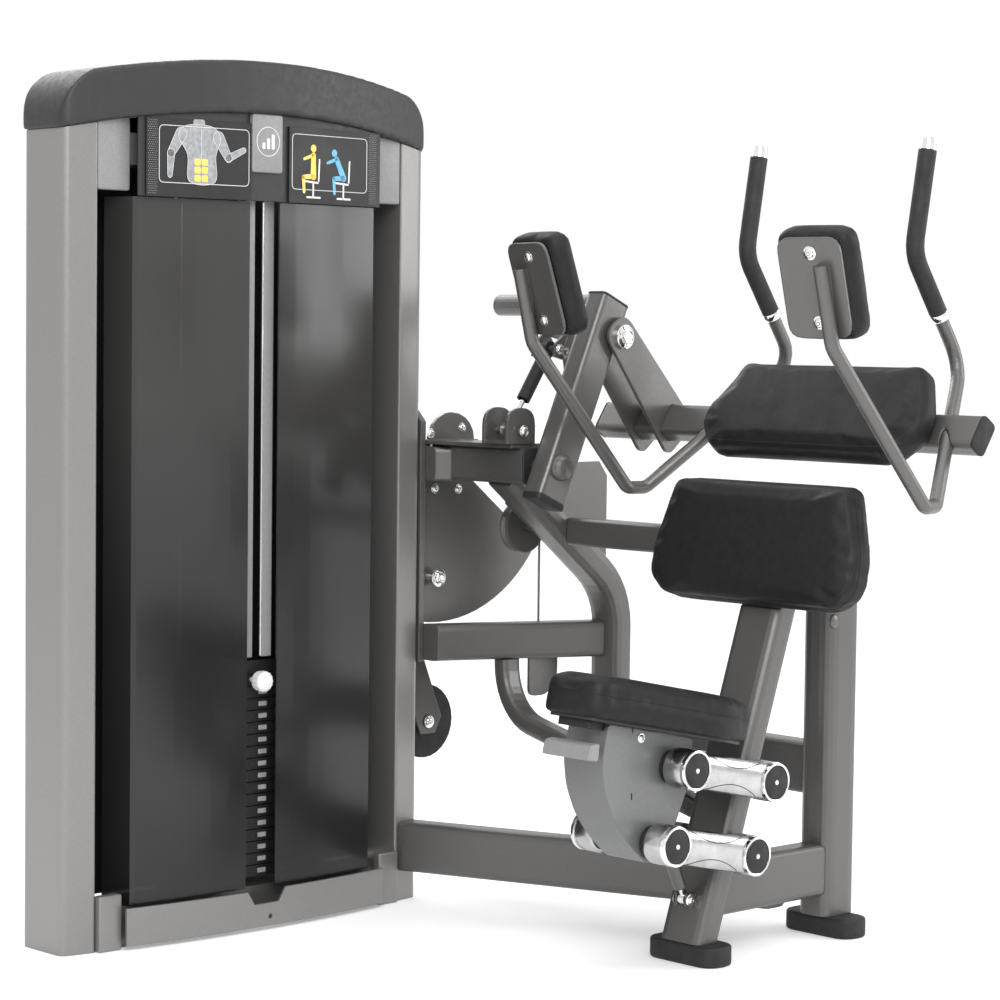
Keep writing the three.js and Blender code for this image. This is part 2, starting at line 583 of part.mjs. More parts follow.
function makePads() {
  const back = [v2(-224, -94), v2(224, -94), v2(270, -40), v2(270, 6), v2(220, 110), v2(-220, 110)];
  back.push(v2(-270, 6), v2(-270, -40));
  const backOrigin = crossCentre(BENCH_Y).addScaledVector(BEHIND, -21 - GAP);
  const backFrame = facing(backOrigin, CROSS.lean);
  add('back_pad', cushion(roundedOutline(back, 20), 62, 14, backFrame), VINYL);

  const lumbar = [v2(-212, -120), v2(212, -120), v2(254, -84), v2(256, -16), v2(218, 114), v2(-218, 114)];
  lumbar.push(v2(-256, -16), v2(-254, -84));
  const lumbarFrame = facing(v3(LUMBAR.x, BENCH_Y, LUMBAR.z), LUMBAR.lean);
  add('lumbar_pad', cushion(roundedOutline(lumbar, 22), 64, 14, lumbarFrame), VINYL);

  const seat = [v2(-188, -66), v2(110, -134), v2(192, -104), v2(192, 104), v2(110, 134), v2(-188, 66)];
  const tilt = new THREE.Matrix4().makeRotationY(SEAT.tilt);
  tilt.setPosition(SEAT.x, BENCH_Y, SEAT.z);
  add('seat_pad', cushion(roundedOutline(seat, 27), SEAT.thickness, 14, tilt), VINYL);
}

// ---------------------------------------------------------------- lever
function leverBar(width, depth, low, high) {
  const direction = v2(170, 386).normalize();
  const start = v3(915, LEVER_Y, 821).add(v3(direction.x, 0, direction.y).multiplyScalar(low));
  const end = v3(915, LEVER_Y, 821).add(v3(direction.x, 0, direction.y).multiplyScalar(high));
  return bar(start, end, roundedRectangle(width, depth, 10), v3(0, 1, 0));
}

function makeLever() {
  const length = Math.hypot(170, 386);
  const bores = [PIVOT, SWING].map((p) => cylinderY(p.x, p.y, -400, -200, 16, 20));
  add('lever_column', cut(leverBar(50, 76, 0, length), ...bores), FRAME_GREY);
  const axle = [[0, 46], [15, 46], [15, -330.4], [24, -330.4], [24, -338], [18, -346], [0, -349]];
  add('pivot_axle', turnedY(PIVOT.x, 0, PIVOT.y, axle.slice().reverse(), 20), FRAME_GREY);

  const top = v3(1068, 0, 1198);
  const cylinder = cylinderY(top.x, top.z, -279.6, -15, 21.5, 20);
  const direction = v3(-170, 0, -386).normalize();
  const low = top.clone().addScaledVector(direction, 170);
  const gusset = new THREE.Shape([v2(-279.6, 0), v2(-60, 0), v2(-150, 60), v2(-228, 78), v2(-279.6, 165)]);
  const plate = new THREE.ExtrudeGeometry(gusset, { depth: 8, bevelEnabled: false });
  const normal = v3(0, 1, 0).cross(direction);
  plate.applyMatrix4(new THREE.Matrix4().makeBasis(v3(0, 1, 0), direction, normal).setPosition(top));
  const ear = cylinderY(STRUT_HEAD.x, STRUT_HEAD.y, -246, -180, 7, 12);
  const cheek = [v2(996, 1096), v2(1020, 1090), v2(1056, 1118), v2(1036, 1150), v2(1000, 1122)];
  const cheeks = [-240, -180].map((y) => extrudeXZ(new THREE.Shape(cheek), y, 6));
  add('counterweight_arm', join(cylinder, plate, ear, ...cheeks), FRAME_GREY);
  add('drive_cam', camPlate(), FRAME_GREY);
}

function camPlate() {
  const points = [];
  const from = -Math.acos((CAM.left - PIVOT.x) / CAM.radius);
  const to = THREE.MathUtils.degToRad(-34);
  for (let i = 0; i <= 14; i++) {
    const angle = from + ((to - from) * i) / 14;
    points.push(v2(PIVOT.x + CAM.radius * Math.cos(angle), PIVOT.y + CAM.radius * Math.sin(angle)));
  }
  for (let i = 0; i <= 8; i++) {
    const angle = THREE.MathUtils.degToRad(-10 + 24 * i);
    points.push(v2(PIVOT.x + 50 * Math.cos(angle), PIVOT.y + 50 * Math.sin(angle)));
  }
  const plate = extrudeXZ(new THREE.Shape(points), CAM.y, CAM.thickness);
  return cut(plate, cylinderY(PIVOT.x, PIVOT.y, 0, 60, 15.3, 20));
}

function makeStrut() {
  const foot = v3(STRUT_FOOT.x, STRUT_Y, STRUT_FOOT.y);
  const head = v3(STRUT_HEAD.x, STRUT_Y, STRUT_HEAD.y);
  const direction = head.clone().sub(foot).normalize();
  const at = (distance) => foot.clone().addScaledVector(direction, distance);
  const eye = (centre, outer, inner) => {
    const ring = [[inner, -8], [outer, -8], [outer, 8], [inner, 8], [inner, -8]];
    return turnedY(centre.x, centre.y, centre.z, ring, 20);
  };
  add('strut_rod', join(eye(foot, 15, 7.6), rod(at(12), at(110), 5.5)), CHROME);
  const sleeve = cut(rod(at(72), at(182), 13.5), rod(at(60), at(141), 10));
  const bore = cylinderY(head.x, head.z, -240, -180, 7.6, 20);
  add('strut_body', cut(join(eye(head, 16, 7.6), sleeve), bore), RUBBER);
}

// ---------------------------------------------------------------- carriage
const LEAN = v3(Math.sin(CROSS.lean), 0, Math.cos(CROSS.lean)); // up along the leaning cross tube
const BEHIND = v3(Math.cos(CROSS.lean), 0, -Math.sin(CROSS.lean)); // out of its rear face
const crossCentre = (y) => v3(CROSS.x, y, CROSS.z);

function crossTube(grow, near = CROSS.near, far = CROSS.far) {
  const section = roundedRectangle(42 + 2 * grow, 68 + 2 * grow, 11);
  return bar(crossCentre(far), crossCentre(near), section, BEHIND);
}

function makeYoke() {
  const low = v2(CROSS.x, CROSS.z);
  const along = low.clone().sub(SWING).normalize();
  const across2 = v2(-along.y, along.x);
  const spot = (p, a, b) => p.clone().addScaledVector(along, a).addScaledVector(across2, b);
  const outline = [spot(SWING, -36, 34), spot(SWING, -36, -34), spot(low, 46, -50), spot(low, 46, 50)];
  const cheek = (y) => extrudeXZ(roundedOutline(outline, [32, 32, 20, 20]), y, 8, 5);
  const shaft = cylinderY(SWING.x, SWING.y, -352, -258, 14, 20);
  const hubs = [[-345, -331.5], [-278.5, -262]].map(([yMin, yMax]) => {
    return cylinderY(SWING.x, SWING.y, yMin, yMax, 30, 24);
  });
  const yoke = join(cheek(-337), cheek(-264), shaft, ...hubs);
  add('swing_yoke', cut(yoke, crossTube(GAP, -900, -100)), FRAME_GREY);
  add('cross_tube', cut(crossTube(0), armTube(-1, 14), armTube(1, 14)), FRAME_GREY);
}

function armPath(sign) {
  const y = (out) => BENCH_Y + sign * out;
  const corners = [
    v3(1246, y(ARM.gripOut), 1508),
    v3(1208, y(ARM.gripOut - 1), 1297),
    v3(1354, y(ARM.gripOut), 1090),
    v3(1094, y(356), 843),
    v3(1052, y(365), 843),
    v3(790, y(ARM.tubeOut), 1124),
    v3(754, y(ARM.tubeOut), 1262),
  ];
  return corners;
}

const ARM_BENDS = [70, 60, 22, 22, 40];
const ARM_SIDE = v3(0.1, 1, 0.05);

function armTube(sign, radius) {
  return sweep(new BentPath(armPath(sign), ARM_BENDS, ARM_SIDE, 15), circle(0, 0, radius), 12);
}

function makeArm(side, sign) {
  const corners = armPath(sign);
  const tube = armTube(sign, 13);
  const plateFrame = facing(v3(776, BENCH_Y + sign * ARM.plateOut, 1226), 0, -sign * ARM.toeIn);
  const place = plateFrame.multiply(new THREE.Matrix4().makeRotationX(ARM.lean));
  const plate = cushion(roundedRectangle(124, 178, 26), 6, 0.5, place.clone());
  add(`${side}_arm`, join(tube, plate), FRAME_GREY);
  const behind = place.clone().multiply(new THREE.Matrix4().makeTranslation(0, 0, -52 - GAP));
  add(`${side}_elbow_pad`, cushion(roundedRectangle(150, 200, 30), 52, 12, behind), VINYL);
  const gripTop = corners[0].clone().lerp(corners[1], 0.1);
  const gripLow = corners[2].clone().lerp(corners[1], 0.48);
  const gripLine = [gripTop, corners[1], gripLow];
  const outer = sweep(new BentPath(gripLine, [70], ARM_SIDE, 15), circle(0, 0, 17), 12);
  const bore = sweep(new BentPath(corners.slice(0, 3), [70], ARM_SIDE, 15), circle(0, 0, 14), 12);
  add(`${side}_grip`, cut(outer, bore), RUBBER);
}

// ---------------------------------------------------------------- seat
const midOf = (y) => BENCH_Y + y;

function linkArm(rear, front, sign) {
  const inner = midOf(sign * LINK_OUT);
  const outer = midOf(sign * (LINK_OUT + 38));
  const [low, high] = [Math.min(inner, outer), Math.max(inner, outer)];
  const a = v2(...front);
  const b = v2(...rear);
  const along = b.clone().sub(a).normalize();
  const side = v2(-along.y, along.x);
  const mid = a.clone().lerp(b, 0.5);
  const waist = (offset) => mid.clone().addScaledVector(side, offset);
  const edge = (p, offset) => p.clone().addScaledVector(side, offset);
  const shape = new THREE.Shape();
  shape.moveTo(edge(a, 34).x, edge(a, 34).y);
  shape.quadraticCurveTo(waist(28).x, waist(28).y, edge(b, 34).x, edge(b, 34).y);
  shape.lineTo(edge(b, -34).x, edge(b, -34).y);
  shape.quadraticCurveTo(waist(-28).x, waist(-28).y, edge(a, -34).x, edge(a, -34).y);
  const web = extrudeXZ(shape, high, high - low, 6);
  const bushInner = midOf(sign * (50 + 2 * GAP));
  const [bushLow, bushHigh] = [Math.min(inner, bushInner), Math.max(inner, bushInner)];
  const hubs = [a, b].map((p) => cylinderY(p.x, p.y, low, high, 37, 24));
  const bushes = [a, b].map((p) => cylinderY(p.x, p.y, bushLow - GAP, bushHigh + GAP, 25, 16));
  return join(web, ...hubs, ...bushes);
}

function makeSeat() {
  [['near', -1], ['far', 1]].forEach(([side, sign]) => {
    add(`upper_link_${side}`, linkArm(LINK.rearTop, LINK.frontTop, sign), SILVER);
    add(`lower_link_${side}`, linkArm(LINK.rearLow, LINK.frontLow, sign), SILVER);
  });
  const half = 48;
  const shell = [v2(586, 463), v2(571, 400), v2(578, 345), v2(602, 292), v2(640, 245), v2(684, 208)];
  shell.push(v2(704, 204), v2(742, 232), v2(790, 330), v2(800, 380), v2(802, 419));
  const radii = [8, 20, 20, 20, 20, 6, 6, 20, 20, 8, 6];
  const { x: earX, y: earZ } = SEAT_STRUT.high;
  const ears = [-20, 16].map((y) => box(735, earX + 9, midOf(y), midOf(y + 4), earZ - 11, earZ + 11));
  const earPin = cylinderY(earX, earZ, midOf(-22), midOf(22), 4, 12);
  const casing = extrudeXZ(roundedOutline(shell, radii), midOf(half), 2 * half, 4);
  add('seat_carriage', join(casing, ...ears, earPin), LIGHT_PLASTIC);
  const tongue = roundedOutline([v2(514, 408), v2(540, 404), v2(544, 436), v2(522, 434)], 5);
  const paddle = extrudeXZ(tongue, midOf(46), 116, 3);
  const stem = box(536, 570, midOf(-14), midOf(14), 410, 428);
  add('seat_lever', join(paddle, stem), LIGHT_PLASTIC);
  makeSeatStrut();
}

function makeSeatStrut() {
  const low = v3(SEAT_STRUT.low.x, BENCH_Y, SEAT_STRUT.low.y);
  const high = v3(SEAT_STRUT.high.x, BENCH_Y, SEAT_STRUT.high.y);
  const at = (share) => low.clone().lerp(high, share);
  const eye = (p, width) => cylinderY(p.x, p.z, p.y - width / 2, p.y + width / 2, 10, 16);
  const hole = (p) => cylinderY(p.x, p.z, p.y - 20, p.y + 20, 4.6, 16);
  add('seat_strut_rod', cut(join(rod(at(0), at(0.9), 4.5), eye(low, 14)), hole(low)), CHROME);
  const tube = cut(rod(at(0.17), at(1), 12), rod(at(0.1), at(0.93), 8));
  add('seat_strut_body', cut(join(tube, eye(high, 26)), hole(high)), FRAME_GREY);
}

// ---------------------------------------------------------------- assembly
makeColumns();
makeCap();
makeShields();
makePlacards();
makeTowerFrame();
makeWeights();
makeFlange();
makeHousing();
makeDriveFrame();
makeBench();
makePads();
makeLever();
makeStrut();
makeYoke();
makeArm('near', -1);
makeArm('far', 1);
makeSeat();
add('top_pulley', pulley(TOP_PULLEY.x, STACK_ROD.y, TOP_PULLEY.y, 42, 20, 8), RUBBER);
add('hub_pulley', pulley(HUB.x, HUB_Y, HUB.y, 53, 22, 8), FRAME_GREY);
add('low_pulley', pulley(948, 82.5, 343, 76, 22, 7.6), RUBBER);
add('drive_cable', cylinderZ(HUB.x + 49.5, HUB_Y, 420, HUB.y, 2.5, 8), IRON);

const bounds = new THREE.Box3().setFromObject(machine);
const middle = bounds.getCenter(v3(0, 0, 0));
machine.position.set(-middle.x, -middle.y, 0);

export default machine;
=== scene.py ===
"""The looks of an ab crunch machine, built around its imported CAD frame.

Lengths here are millimetres in the drawing frame of the part's source: the origin is on the floor at the
tower's front left corner, +X runs across the tower's front and -Y points from the tower to the seat.
at() and place() turn them into Blender's metres.
"""
import json
import math

import bmesh
import bpy
from mathutils import Matrix, Vector, noise
from mathutils.bvhtree import BVHTree


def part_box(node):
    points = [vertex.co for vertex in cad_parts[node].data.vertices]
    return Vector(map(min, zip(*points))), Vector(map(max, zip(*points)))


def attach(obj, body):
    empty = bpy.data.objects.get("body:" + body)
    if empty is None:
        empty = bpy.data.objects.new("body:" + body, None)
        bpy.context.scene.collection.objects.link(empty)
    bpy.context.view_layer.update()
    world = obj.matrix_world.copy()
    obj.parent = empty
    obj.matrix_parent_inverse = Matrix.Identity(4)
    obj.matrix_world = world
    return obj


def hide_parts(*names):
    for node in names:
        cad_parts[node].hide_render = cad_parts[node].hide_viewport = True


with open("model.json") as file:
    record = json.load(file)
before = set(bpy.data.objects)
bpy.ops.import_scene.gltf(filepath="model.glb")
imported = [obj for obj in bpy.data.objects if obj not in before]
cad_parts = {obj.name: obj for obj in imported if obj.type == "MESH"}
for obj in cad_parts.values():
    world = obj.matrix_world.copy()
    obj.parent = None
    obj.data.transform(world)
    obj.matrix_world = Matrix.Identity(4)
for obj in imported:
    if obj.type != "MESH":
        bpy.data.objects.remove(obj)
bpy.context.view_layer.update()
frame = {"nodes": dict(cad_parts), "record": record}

MM = 0.001
ORIGIN = Vector((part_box("left_column")[0].x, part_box("base_crossbeam")[0].y + 6 * MM, 0))

# ------------------------------------------------------------------ driving dimensions
TOWER_WIDTH = 864
TOWER_MID = TOWER_WIDTH / 2
BENCH_Y = -762  # middle plane of the seat, the pads and the feet
LEVER_Y = -305  # middle plane of the lever
PIVOT = (936, 882)  # main pivot in X and Z
SWING = (1088, 1137)  # the carriage's pivot on the lever
STRUT_FOOT = (904, 951)
STRUT_HEAD = (1011, 1111)
CROSS = (1232, 966)  # cross tube's axis
CROSS_LEAN = math.radians(34)
ELBOW_PLATE = (776, 1226)
ELBOW_OUT = 338  # elbow plate's middle, from the bench plane
ELBOW_LEAN = math.radians(17.7)
ELBOW_TOE = math.radians(9)
GRIP_OUT = 206
HANDLE = [(1246, 1508), (1208, 1297), (1354, 1090)]  # handle's axis in X and Z, from its tip down
LINKS = {"upper": ((743, 374), (956, 332)), "lower": ((695, 244), (908, 202))}
SEAT = (708, 440)  # middle of the seat pad's underside in X and Z
SEAT_TILT = math.radians(11.5)
SEAT_THICKNESS = 80
CAP_CORNER = 105  # radius of the tower cap's two upper corners, seen from the front
LINK_HALF = 33  # half a link arm's height between its hubs
LINK_OUT = (77, 115)  # a link arm's inner and outer face, from the bench plane
PIN_Z = 475
CAMERA_PLACE = (-2953, -4257, 1146)
CAMERA_AZIMUTH = math.radians(-43.5)
CAMERA_ELEVATION = math.radians(3.4)
CAMERA_ROLL = math.radians(0.7)
CAMERA_LENS = 102.6


def at(x, y, z):
    return ORIGIN + Vector((x, y, z)) * MM


def place(origin, across=(1, 0, 0), up=(0, 0, 1)):
    """A frame for flat work: its first two axes lie in the work's face and the third points out of it."""
    u = Vector(across).normalized()
    w = u.cross(Vector(up)).normalized()
    v = w.cross(u)
    turn = Matrix((u, v, w)).transposed().to_4x4()
    return Matrix.Translation(at(*origin)) @ turn @ Matrix.Scale(MM, 4)


def facing(origin, lean=0.0, turn=0.0):
    """The frame of a pad: third axis towards the user, second axis leaning back from vertical."""
    spin = Matrix.Rotation(turn, 3, "Z")
    up = spin @ Vector((math.sin(lean), 0, math.cos(lean)))
    return place(origin, spin @ Vector((0, -1, 0)), up)


# ------------------------------------------------------------------ camera, floor and light
def aim(azimuth, elevation, roll):
    right = Vector((math.cos(azimuth), math.sin(azimuth), 0))
    back = Vector((
        math.sin(azimuth) * math.cos(elevation),
        -math.cos(azimuth) * math.cos(elevation),
        math.sin(elevation),
    ))
    up = back.cross(right)
    level = Matrix((right, up, back)).transposed()
    return level @ Matrix.Rotation(roll, 3, "Z")


def make_camera():
    lens = bpy.data.cameras.new("camera")
    lens.lens = CAMERA_LENS
    camera = bpy.data.objects.new("camera", lens)
    turn = aim(CAMERA_AZIMUTH, CAMERA_ELEVATION, CAMERA_ROLL)
    camera.matrix_world = Matrix.Translation(at(*CAMERA_PLACE)) @ turn.to_4x4()
    bpy.context.scene.collection.objects.link(camera)
    bpy.context.scene.camera = camera


def area_light(name, spot, target, size, watts):
    data = bpy.data.lights.new(name, "AREA")
    data.shape = "RECTANGLE"
    data.size, data.size_y = size
    data.energy = watts
    light = bpy.data.objects.new(name, data)
    light.location = spot
    light.rotation_euler = (Vector(target) - Vector(spot)).to_track_quat("-Z", "Y").to_euler()
    bpy.context.scene.collection.objects.link(light)


def make_studio():
    bpy.context.scene.view_settings.view_transform = "Standard"
    world = bpy.data.worlds.new("studio")
    world.use_nodes = True
    sky = world.node_tree.nodes["Background"]
    sky.inputs["Color"].default_value = (1, 1, 1, 1)
    sky.inputs["Strength"].default_value = 1.0
    bpy.context.scene.world = world
    area_light("key", (-2.6, -3.4, 3.4), (0, 0, 0.8), (2.4, 2.4), 130)
    area_light("side", (3.6, -2.6, 2.2), (0.2, 0, 0.8), (1.6, 2.8), 60)
    area_light("rim", (0.8, 3.6, 3.2), (0, 0, 0.8), (3.0, 1.6), 60)
    area_light("top", (0, -0.4, 4.2), (0, 0, 0), (3.2, 3.2), 45)


def make_floor():
    mesh = bpy.data.meshes.new("floor")
    reach = 30
    corners = [(-reach, -reach, 0), (reach, -reach, 0), (reach, reach, 0), (-reach, reach, 0)]
    mesh.from_pydata(corners, [], [(0, 1, 2, 3)])
    floor = bpy.data.objects.new("floor", mesh)
    glow = {"Emission_Color": (1, 1, 1, 1), "Emission_Strength": 0.22}
    mesh.materials.append(make_material("floor_paper", greys(0.84, 0.88), 900, (0.7, 0.8), **glow))
    bpy.context.scene.collection.objects.link(floor)


# ------------------------------------------------------------------ materials
def connect(tree, source, output, target, socket):
    tree.links.new(source.outputs[output], target.inputs[socket])


def noise_node(tree, coordinates, size, detail=2.0):
    """Noise with features about `size` millimetres across, in the piece's own coordinates."""
    texture = tree.nodes.new("ShaderNodeTexNoise")
    texture.inputs["Scale"].default_value = 1 / (size * MM)
    texture.inputs["Detail"].default_value = detail
    connect(tree, coordinates, "Object", texture, "Vector")
    return texture


def ramp_node(tree, source, output, stops):
    ramp = tree.nodes.new("ShaderNodeValToRGB")
    places = ramp.color_ramp.elements
    for element, (position, colour) in zip((places[0], places[1]), (stops[0], stops[-1])):
        element.position = position
        element.color = (*colour, 1)
    for position, colour in stops[1:-1]:
        places.new(position).color = (*colour, 1)
    connect(tree, source, output, ramp, "Fac")
    return ramp


def grain_bump(tree, coordinates, kind, size, height, normal):
    """A bump of `height` millimetres: "noise" is orange peel, "pebble" leather and "ribs" rings along Z."""
    if kind == "pebble":
        texture = tree.nodes.new("ShaderNodeTexVoronoi")
        texture.feature = "SMOOTH_F1"
        texture.inputs["Scale"].default_value = 1 / (size * MM)
        output = "Distance"
    elif kind == "ribs":
        texture = tree.nodes.new("ShaderNodeTexWave")
        texture.bands_direction = "Z"
        texture.inputs["Scale"].default_value = 0.3 / (size * MM)
        texture.inputs["Distortion"].default_value = 0.6
        output = "Fac"
    else:
        texture = tree.nodes.new("ShaderNodeTexNoise")
        texture.inputs["Scale"].default_value = 1 / (size * MM)
        output = "Fac"
    connect(tree, coordinates, "Object", texture, "Vector")
    bump = tree.nodes.new("ShaderNodeBump")
    bump.inputs["Distance"].default_value = height * MM
    connect(tree, texture, output, bump, "Height")
    if normal:
        connect(tree, normal, "Normal", bump, "Normal")
    return bump


def make_material(name, colours, spot, roughness, metallic=0.0, grain=(), edge=0.0, fade=None, **fixed):
    """A procedural finish. The two colours and the two roughness values vary with noise `spot` mm across.

    `grain` lists (kind, size, height) bumps, `edge` rounds sharp corners by so many mm when shaded, and
    `fade` lists (height, colour) stops up the piece, painted shade by height. Anything in `fixed` is set on
    the shader itself.
    """
    material = bpy.data.materials.new(name)
    material.use_nodes = True
    tree = material.node_tree
    shader = tree.nodes["Principled BSDF"]
    shader.inputs["Metallic"].default_value = metallic
    for key, value in fixed.items():
        shader.inputs[key.replace("_", " ")].default_value = value
    coordinates = tree.nodes.new("ShaderNodeTexCoord")
    texture = noise_node(tree, coordinates, spot, 4.0)
    if fade:
        split = tree.nodes.new("ShaderNodeSeparateXYZ")
        connect(tree, coordinates, "Object", split, "Vector")
        ramp = ramp_node(tree, split, "Z", fade)
    else:
        ramp = ramp_node(tree, texture, "Fac", [(0.3, colours[0]), (0.7, colours[1])])
    connect(tree, ramp, "Color", shader, "Base Color")
    gloss = tree.nodes.new("ShaderNodeMapRange")
    gloss.inputs["From Min"].default_value = 0.3
    gloss.inputs["From Max"].default_value = 0.7
    gloss.inputs["To Min"].default_value = roughness[0]
    gloss.inputs["To Max"].default_value = roughness[1]
    connect(tree, noise_node(tree, coordinates, spot * 3 + 5), "Fac", gloss, "Value")
    connect(tree, gloss, "Result", shader, "Roughness")
    normal = None
    if edge:
        normal = tree.nodes.new("ShaderNodeBevel")
        normal.samples = 4
        normal.inputs["Radius"].default_value = edge * MM
    for kind, size, height in grain:
        normal = grain_bump(tree, coordinates, kind, size, height, normal)
    if normal:
        connect(tree, normal, "Normal", shader, "Normal")
    return material


def greys(*values):
    return tuple((v, v, v) for v in values)


def paint(name, light, dark, edge, **fixed):
    """Metallic powder coat: fine flakes in the colour and a slight orange peel."""
    warm = [tuple(v * k for k in (1.0, 0.975, 0.95)) for v in (dark, light)]
    grain = [("noise", 1.6, 0.02)]
    return make_material(name, warm, 0.9, (0.28, 0.38), 0.55, grain, edge, **fixed)


FINISHES = {
    "frame_paint": paint("frame_powder_coat", 0.150, 0.095, 4.0),
    "column_paint": paint("column_powder_coat", 0.285, 0.20, 3.0),
    "cap_plastic": make_material(
        "charcoal_plastic", greys(0.014, 0.021), 2.0, (0.42, 0.55), 0.0, [("noise", 0.9, 0.03)], 3.0),
    # Smoked tint that darkens towards the bottom: the height ramp is painted shade for the shadowed weight
    # stack behind the panel.
    "smoke_panel": make_material(
        "smoked_panel_painted_shade", greys(0.03, 0.04), 60, (0.16, 0.24), 0.0, [("noise", 120, 0.15)],
        fade=[(0.08, (0.012,) * 3), (0.6, (0.018, 0.017, 0.017)), (1.0, (0.036, 0.035, 0.034))], Alpha=0.9),
    "placard_gloss": make_material("placard_film", greys(0.005, 0.009), 30, (0.45, 0.55), edge=1.0),
    "vinyl": make_material(
        "upholstery_vinyl", greys(0.005, 0.009), 14, (0.48, 0.62), 0.0,
        [("noise", 38, 0.5), ("pebble", 1.5, 0.06)], Specular_IOR_Level=0.30),
    "grip_rubber": make_material(
        "black_rubber", greys(0.007, 0.013), 5, (0.60, 0.78), 0.0, [("noise", 1.2, 0.05)], 2.0),
    "chrome": make_material("chrome", greys(0.78, 0.86), 30, (0.06, 0.13), 1.0, [("noise", 18, 0.01)], 0.6),
    "link_silver": make_material(
        "polished_aluminium", greys(0.40, 0.52), 24, (0.16, 0.27), 1.0, [("noise", 9, 0.02)], 1.5),
    "stack_iron": make_material(
        "painted_iron", greys(0.008, 0.020), 3, (0.34, 0.52), 0.25, [("noise", 1.0, 0.04)], 0.8),
    "light_plastic": make_material(
        "silver_grey_moulding", ((0.14, 0.142, 0.144), (0.19, 0.192, 0.194)), 1.2, (0.34, 0.46), 0.35,
        [("noise", 1.1, 0.02)], 3.0),
    "cable_steel": make_material(
        "coated_cable", greys(0.16, 0.34), 1.5, (0.25, 0.4), 0.8, [("ribs", 2.0, 0.25)]),
}
EXTRAS = {
    "light_grey": make_material(
        "light_grey_moulding", greys(0.20, 0.26), 2.0, (0.42, 0.55), 0.1, [("noise", 1.0, 0.02)], 1.5),
    "white_plastic": make_material("white_plastic", greys(0.68, 0.76), 6, (0.25, 0.36), 0.0, [], 1.0),
    "white_print": make_material("white_print", greys(0.62, 0.72), 3, (0.4, 0.5)),
    "grey_print": make_material("grey_print", ((0.20, 0.21, 0.22), (0.34, 0.35, 0.36)), 9, (0.4, 0.5)),
    "yellow_print": make_material("yellow_print", ((0.80, 0.52, 0.06), (0.85, 0.66, 0.16)), 7, (0.4, 0.5)),
    "blue_print": make_material("blue_print", ((0.10, 0.34, 0.52), (0.16, 0.44, 0.62)), 7, (0.4, 0.5)),
    # Near-black painted shade that stands in for the dark inside of holes, slots and seam grooves.
    "groove_shade": make_material("shadow_line", greys(0.006, 0.012), 4, (0.6, 0.8)),
    "thread": make_material("black_thread", greys(0.02, 0.035), 1.0, (0.6, 0.75)),
}


def finish_cad_nodes():
    slots = {part["node"]: part["material_slot"] for part in frame["record"]["subparts"]}
    for name, node in frame["nodes"].items():
        node.data.materials.clear()
        node.data.materials.append(FINISHES[slots[name]])


# ------------------------------------------------------------------ pieces
class Piece:
    """Geometry gathered into one mesh, in Blender's metres."""

    def __init__(self):
        self.bm = bmesh.new()

    def rings(self, rings, closed=False, capped=True):
        """Skins a list of rings of points, each joined to the next."""
        rows = [[self.bm.verts.new(point) for point in ring] for ring in rings]
        count = len(rows[0])
        pairs = list(zip(rows, rows[1:]))
        if closed:
            pairs.append((rows[-1], rows[0]))
        for low, high in pairs:
            for i in range(count):
                j = (i + 1) % count
                self.bm.faces.new((low[i], low[j], high[j], high[i]))
        if capped and not closed:
            self.bm.faces.new(rows[0][::-1])
            self.bm.faces.new(rows[-1])
        return self

    def slab(self, outline, frame_matrix, depth, edge=0.0):
        """An outline in a frame's own millimetres, raised by `depth` with a rounded front edge."""
        steps = [(0.0, 0.0), (depth - edge, 0.0)]
        if edge:
            for a in (0.5, 1.0, math.pi / 2):
                steps.append((depth - edge * (1 - math.sin(a)), edge * (1 - math.cos(a))))
        rings = []
        for height, inset in steps:
            flat = inward(outline, inset)
            rings.append([frame_matrix @ Vector((u, v, height)) for u, v in flat])
        return self.rings(rings)

    def turned(self, frame_matrix, profile, sides=40):
        """A turned piece about a frame's third axis; the profile is a list of (radius, height)."""
        rings = []
        for radius, height in profile:
            reach = max(radius, 0.01)
            rings.append([
                frame_matrix @ Vector((reach * math.cos(a), reach * math.sin(a), height))
                for a in (math.tau * i / sides for i in range(sides))
            ])
        return self.rings(rings)

    def tube(self, points, radius, sides=10, closed=False):
        """A round tube, its radius in millimetres, along points in metres."""
        rings = []
        count = len(points)
        normal = None
        for i, point in enumerate(points):
            before = points[i - 1] if i or closed else point
            after = points[(i + 1) % count] if i + 1 < count or closed else point
            along = (after - before).normalized()
            seed = normal if normal else along.orthogonal()
            normal = (seed - along * seed.dot(along)).normalized()
            side = along.cross(normal)
            rings.append([
                point + (normal * math.cos(a) + side * math.sin(a)) * radius * MM
                for a in (math.tau * k / sides for k in range(sides))
            ])
        return self.rings(rings, closed)

    def bolt(self, frame_matrix, radius, head=None):
        """A button-head screw with a hexagon socket, on a thin washer."""
        tall = head or radius * 0.62
        washer = [(radius * 1.45, 0), (radius * 1.45, 0.9), (radius * 1.38, 1.3), (0, 1.3)]
        self.turned(frame_matrix, washer)
        dome = [(radius, 1.0), (radius, 1.0 + tall * 0.35)]
        dome += [(radius * math.cos(a), 1.0 + tall * (0.35 + 0.65 * math.sin(a))) for a in (0.35, 0.7, 1.0)]
        self.turned(frame_matrix, dome, 28)
        socket = frame_matrix @ Matrix.Translation((0, 0, 1.0 + tall * 0.8))
        recess = [(radius * 0.52, tall * 0.12), (radius * 0.52, tall * 0.16), (0, -tall * 0.1)]
        self.turned(socket, recess, 6)
        return self

    def done(self, name, finish, body, slot, angle=38):
        bmesh.ops.remove_doubles(self.bm, verts=self.bm.verts, dist=1e-7)
        bmesh.ops.recalc_face_normals(self.bm, faces=self.bm.faces)
        mesh = bpy.data.meshes.new(name)
        self.bm.to_mesh(mesh)
        self.bm.free()
        made = bpy.data.objects.new(name, mesh)
        bpy.context.scene.collection.objects.link(made)
        mesh.materials.append(finish)
        mesh.shade_smooth()
        mesh.set_sharp_from_angle(angle=math.radians(angle))
        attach(made, body)
        return made


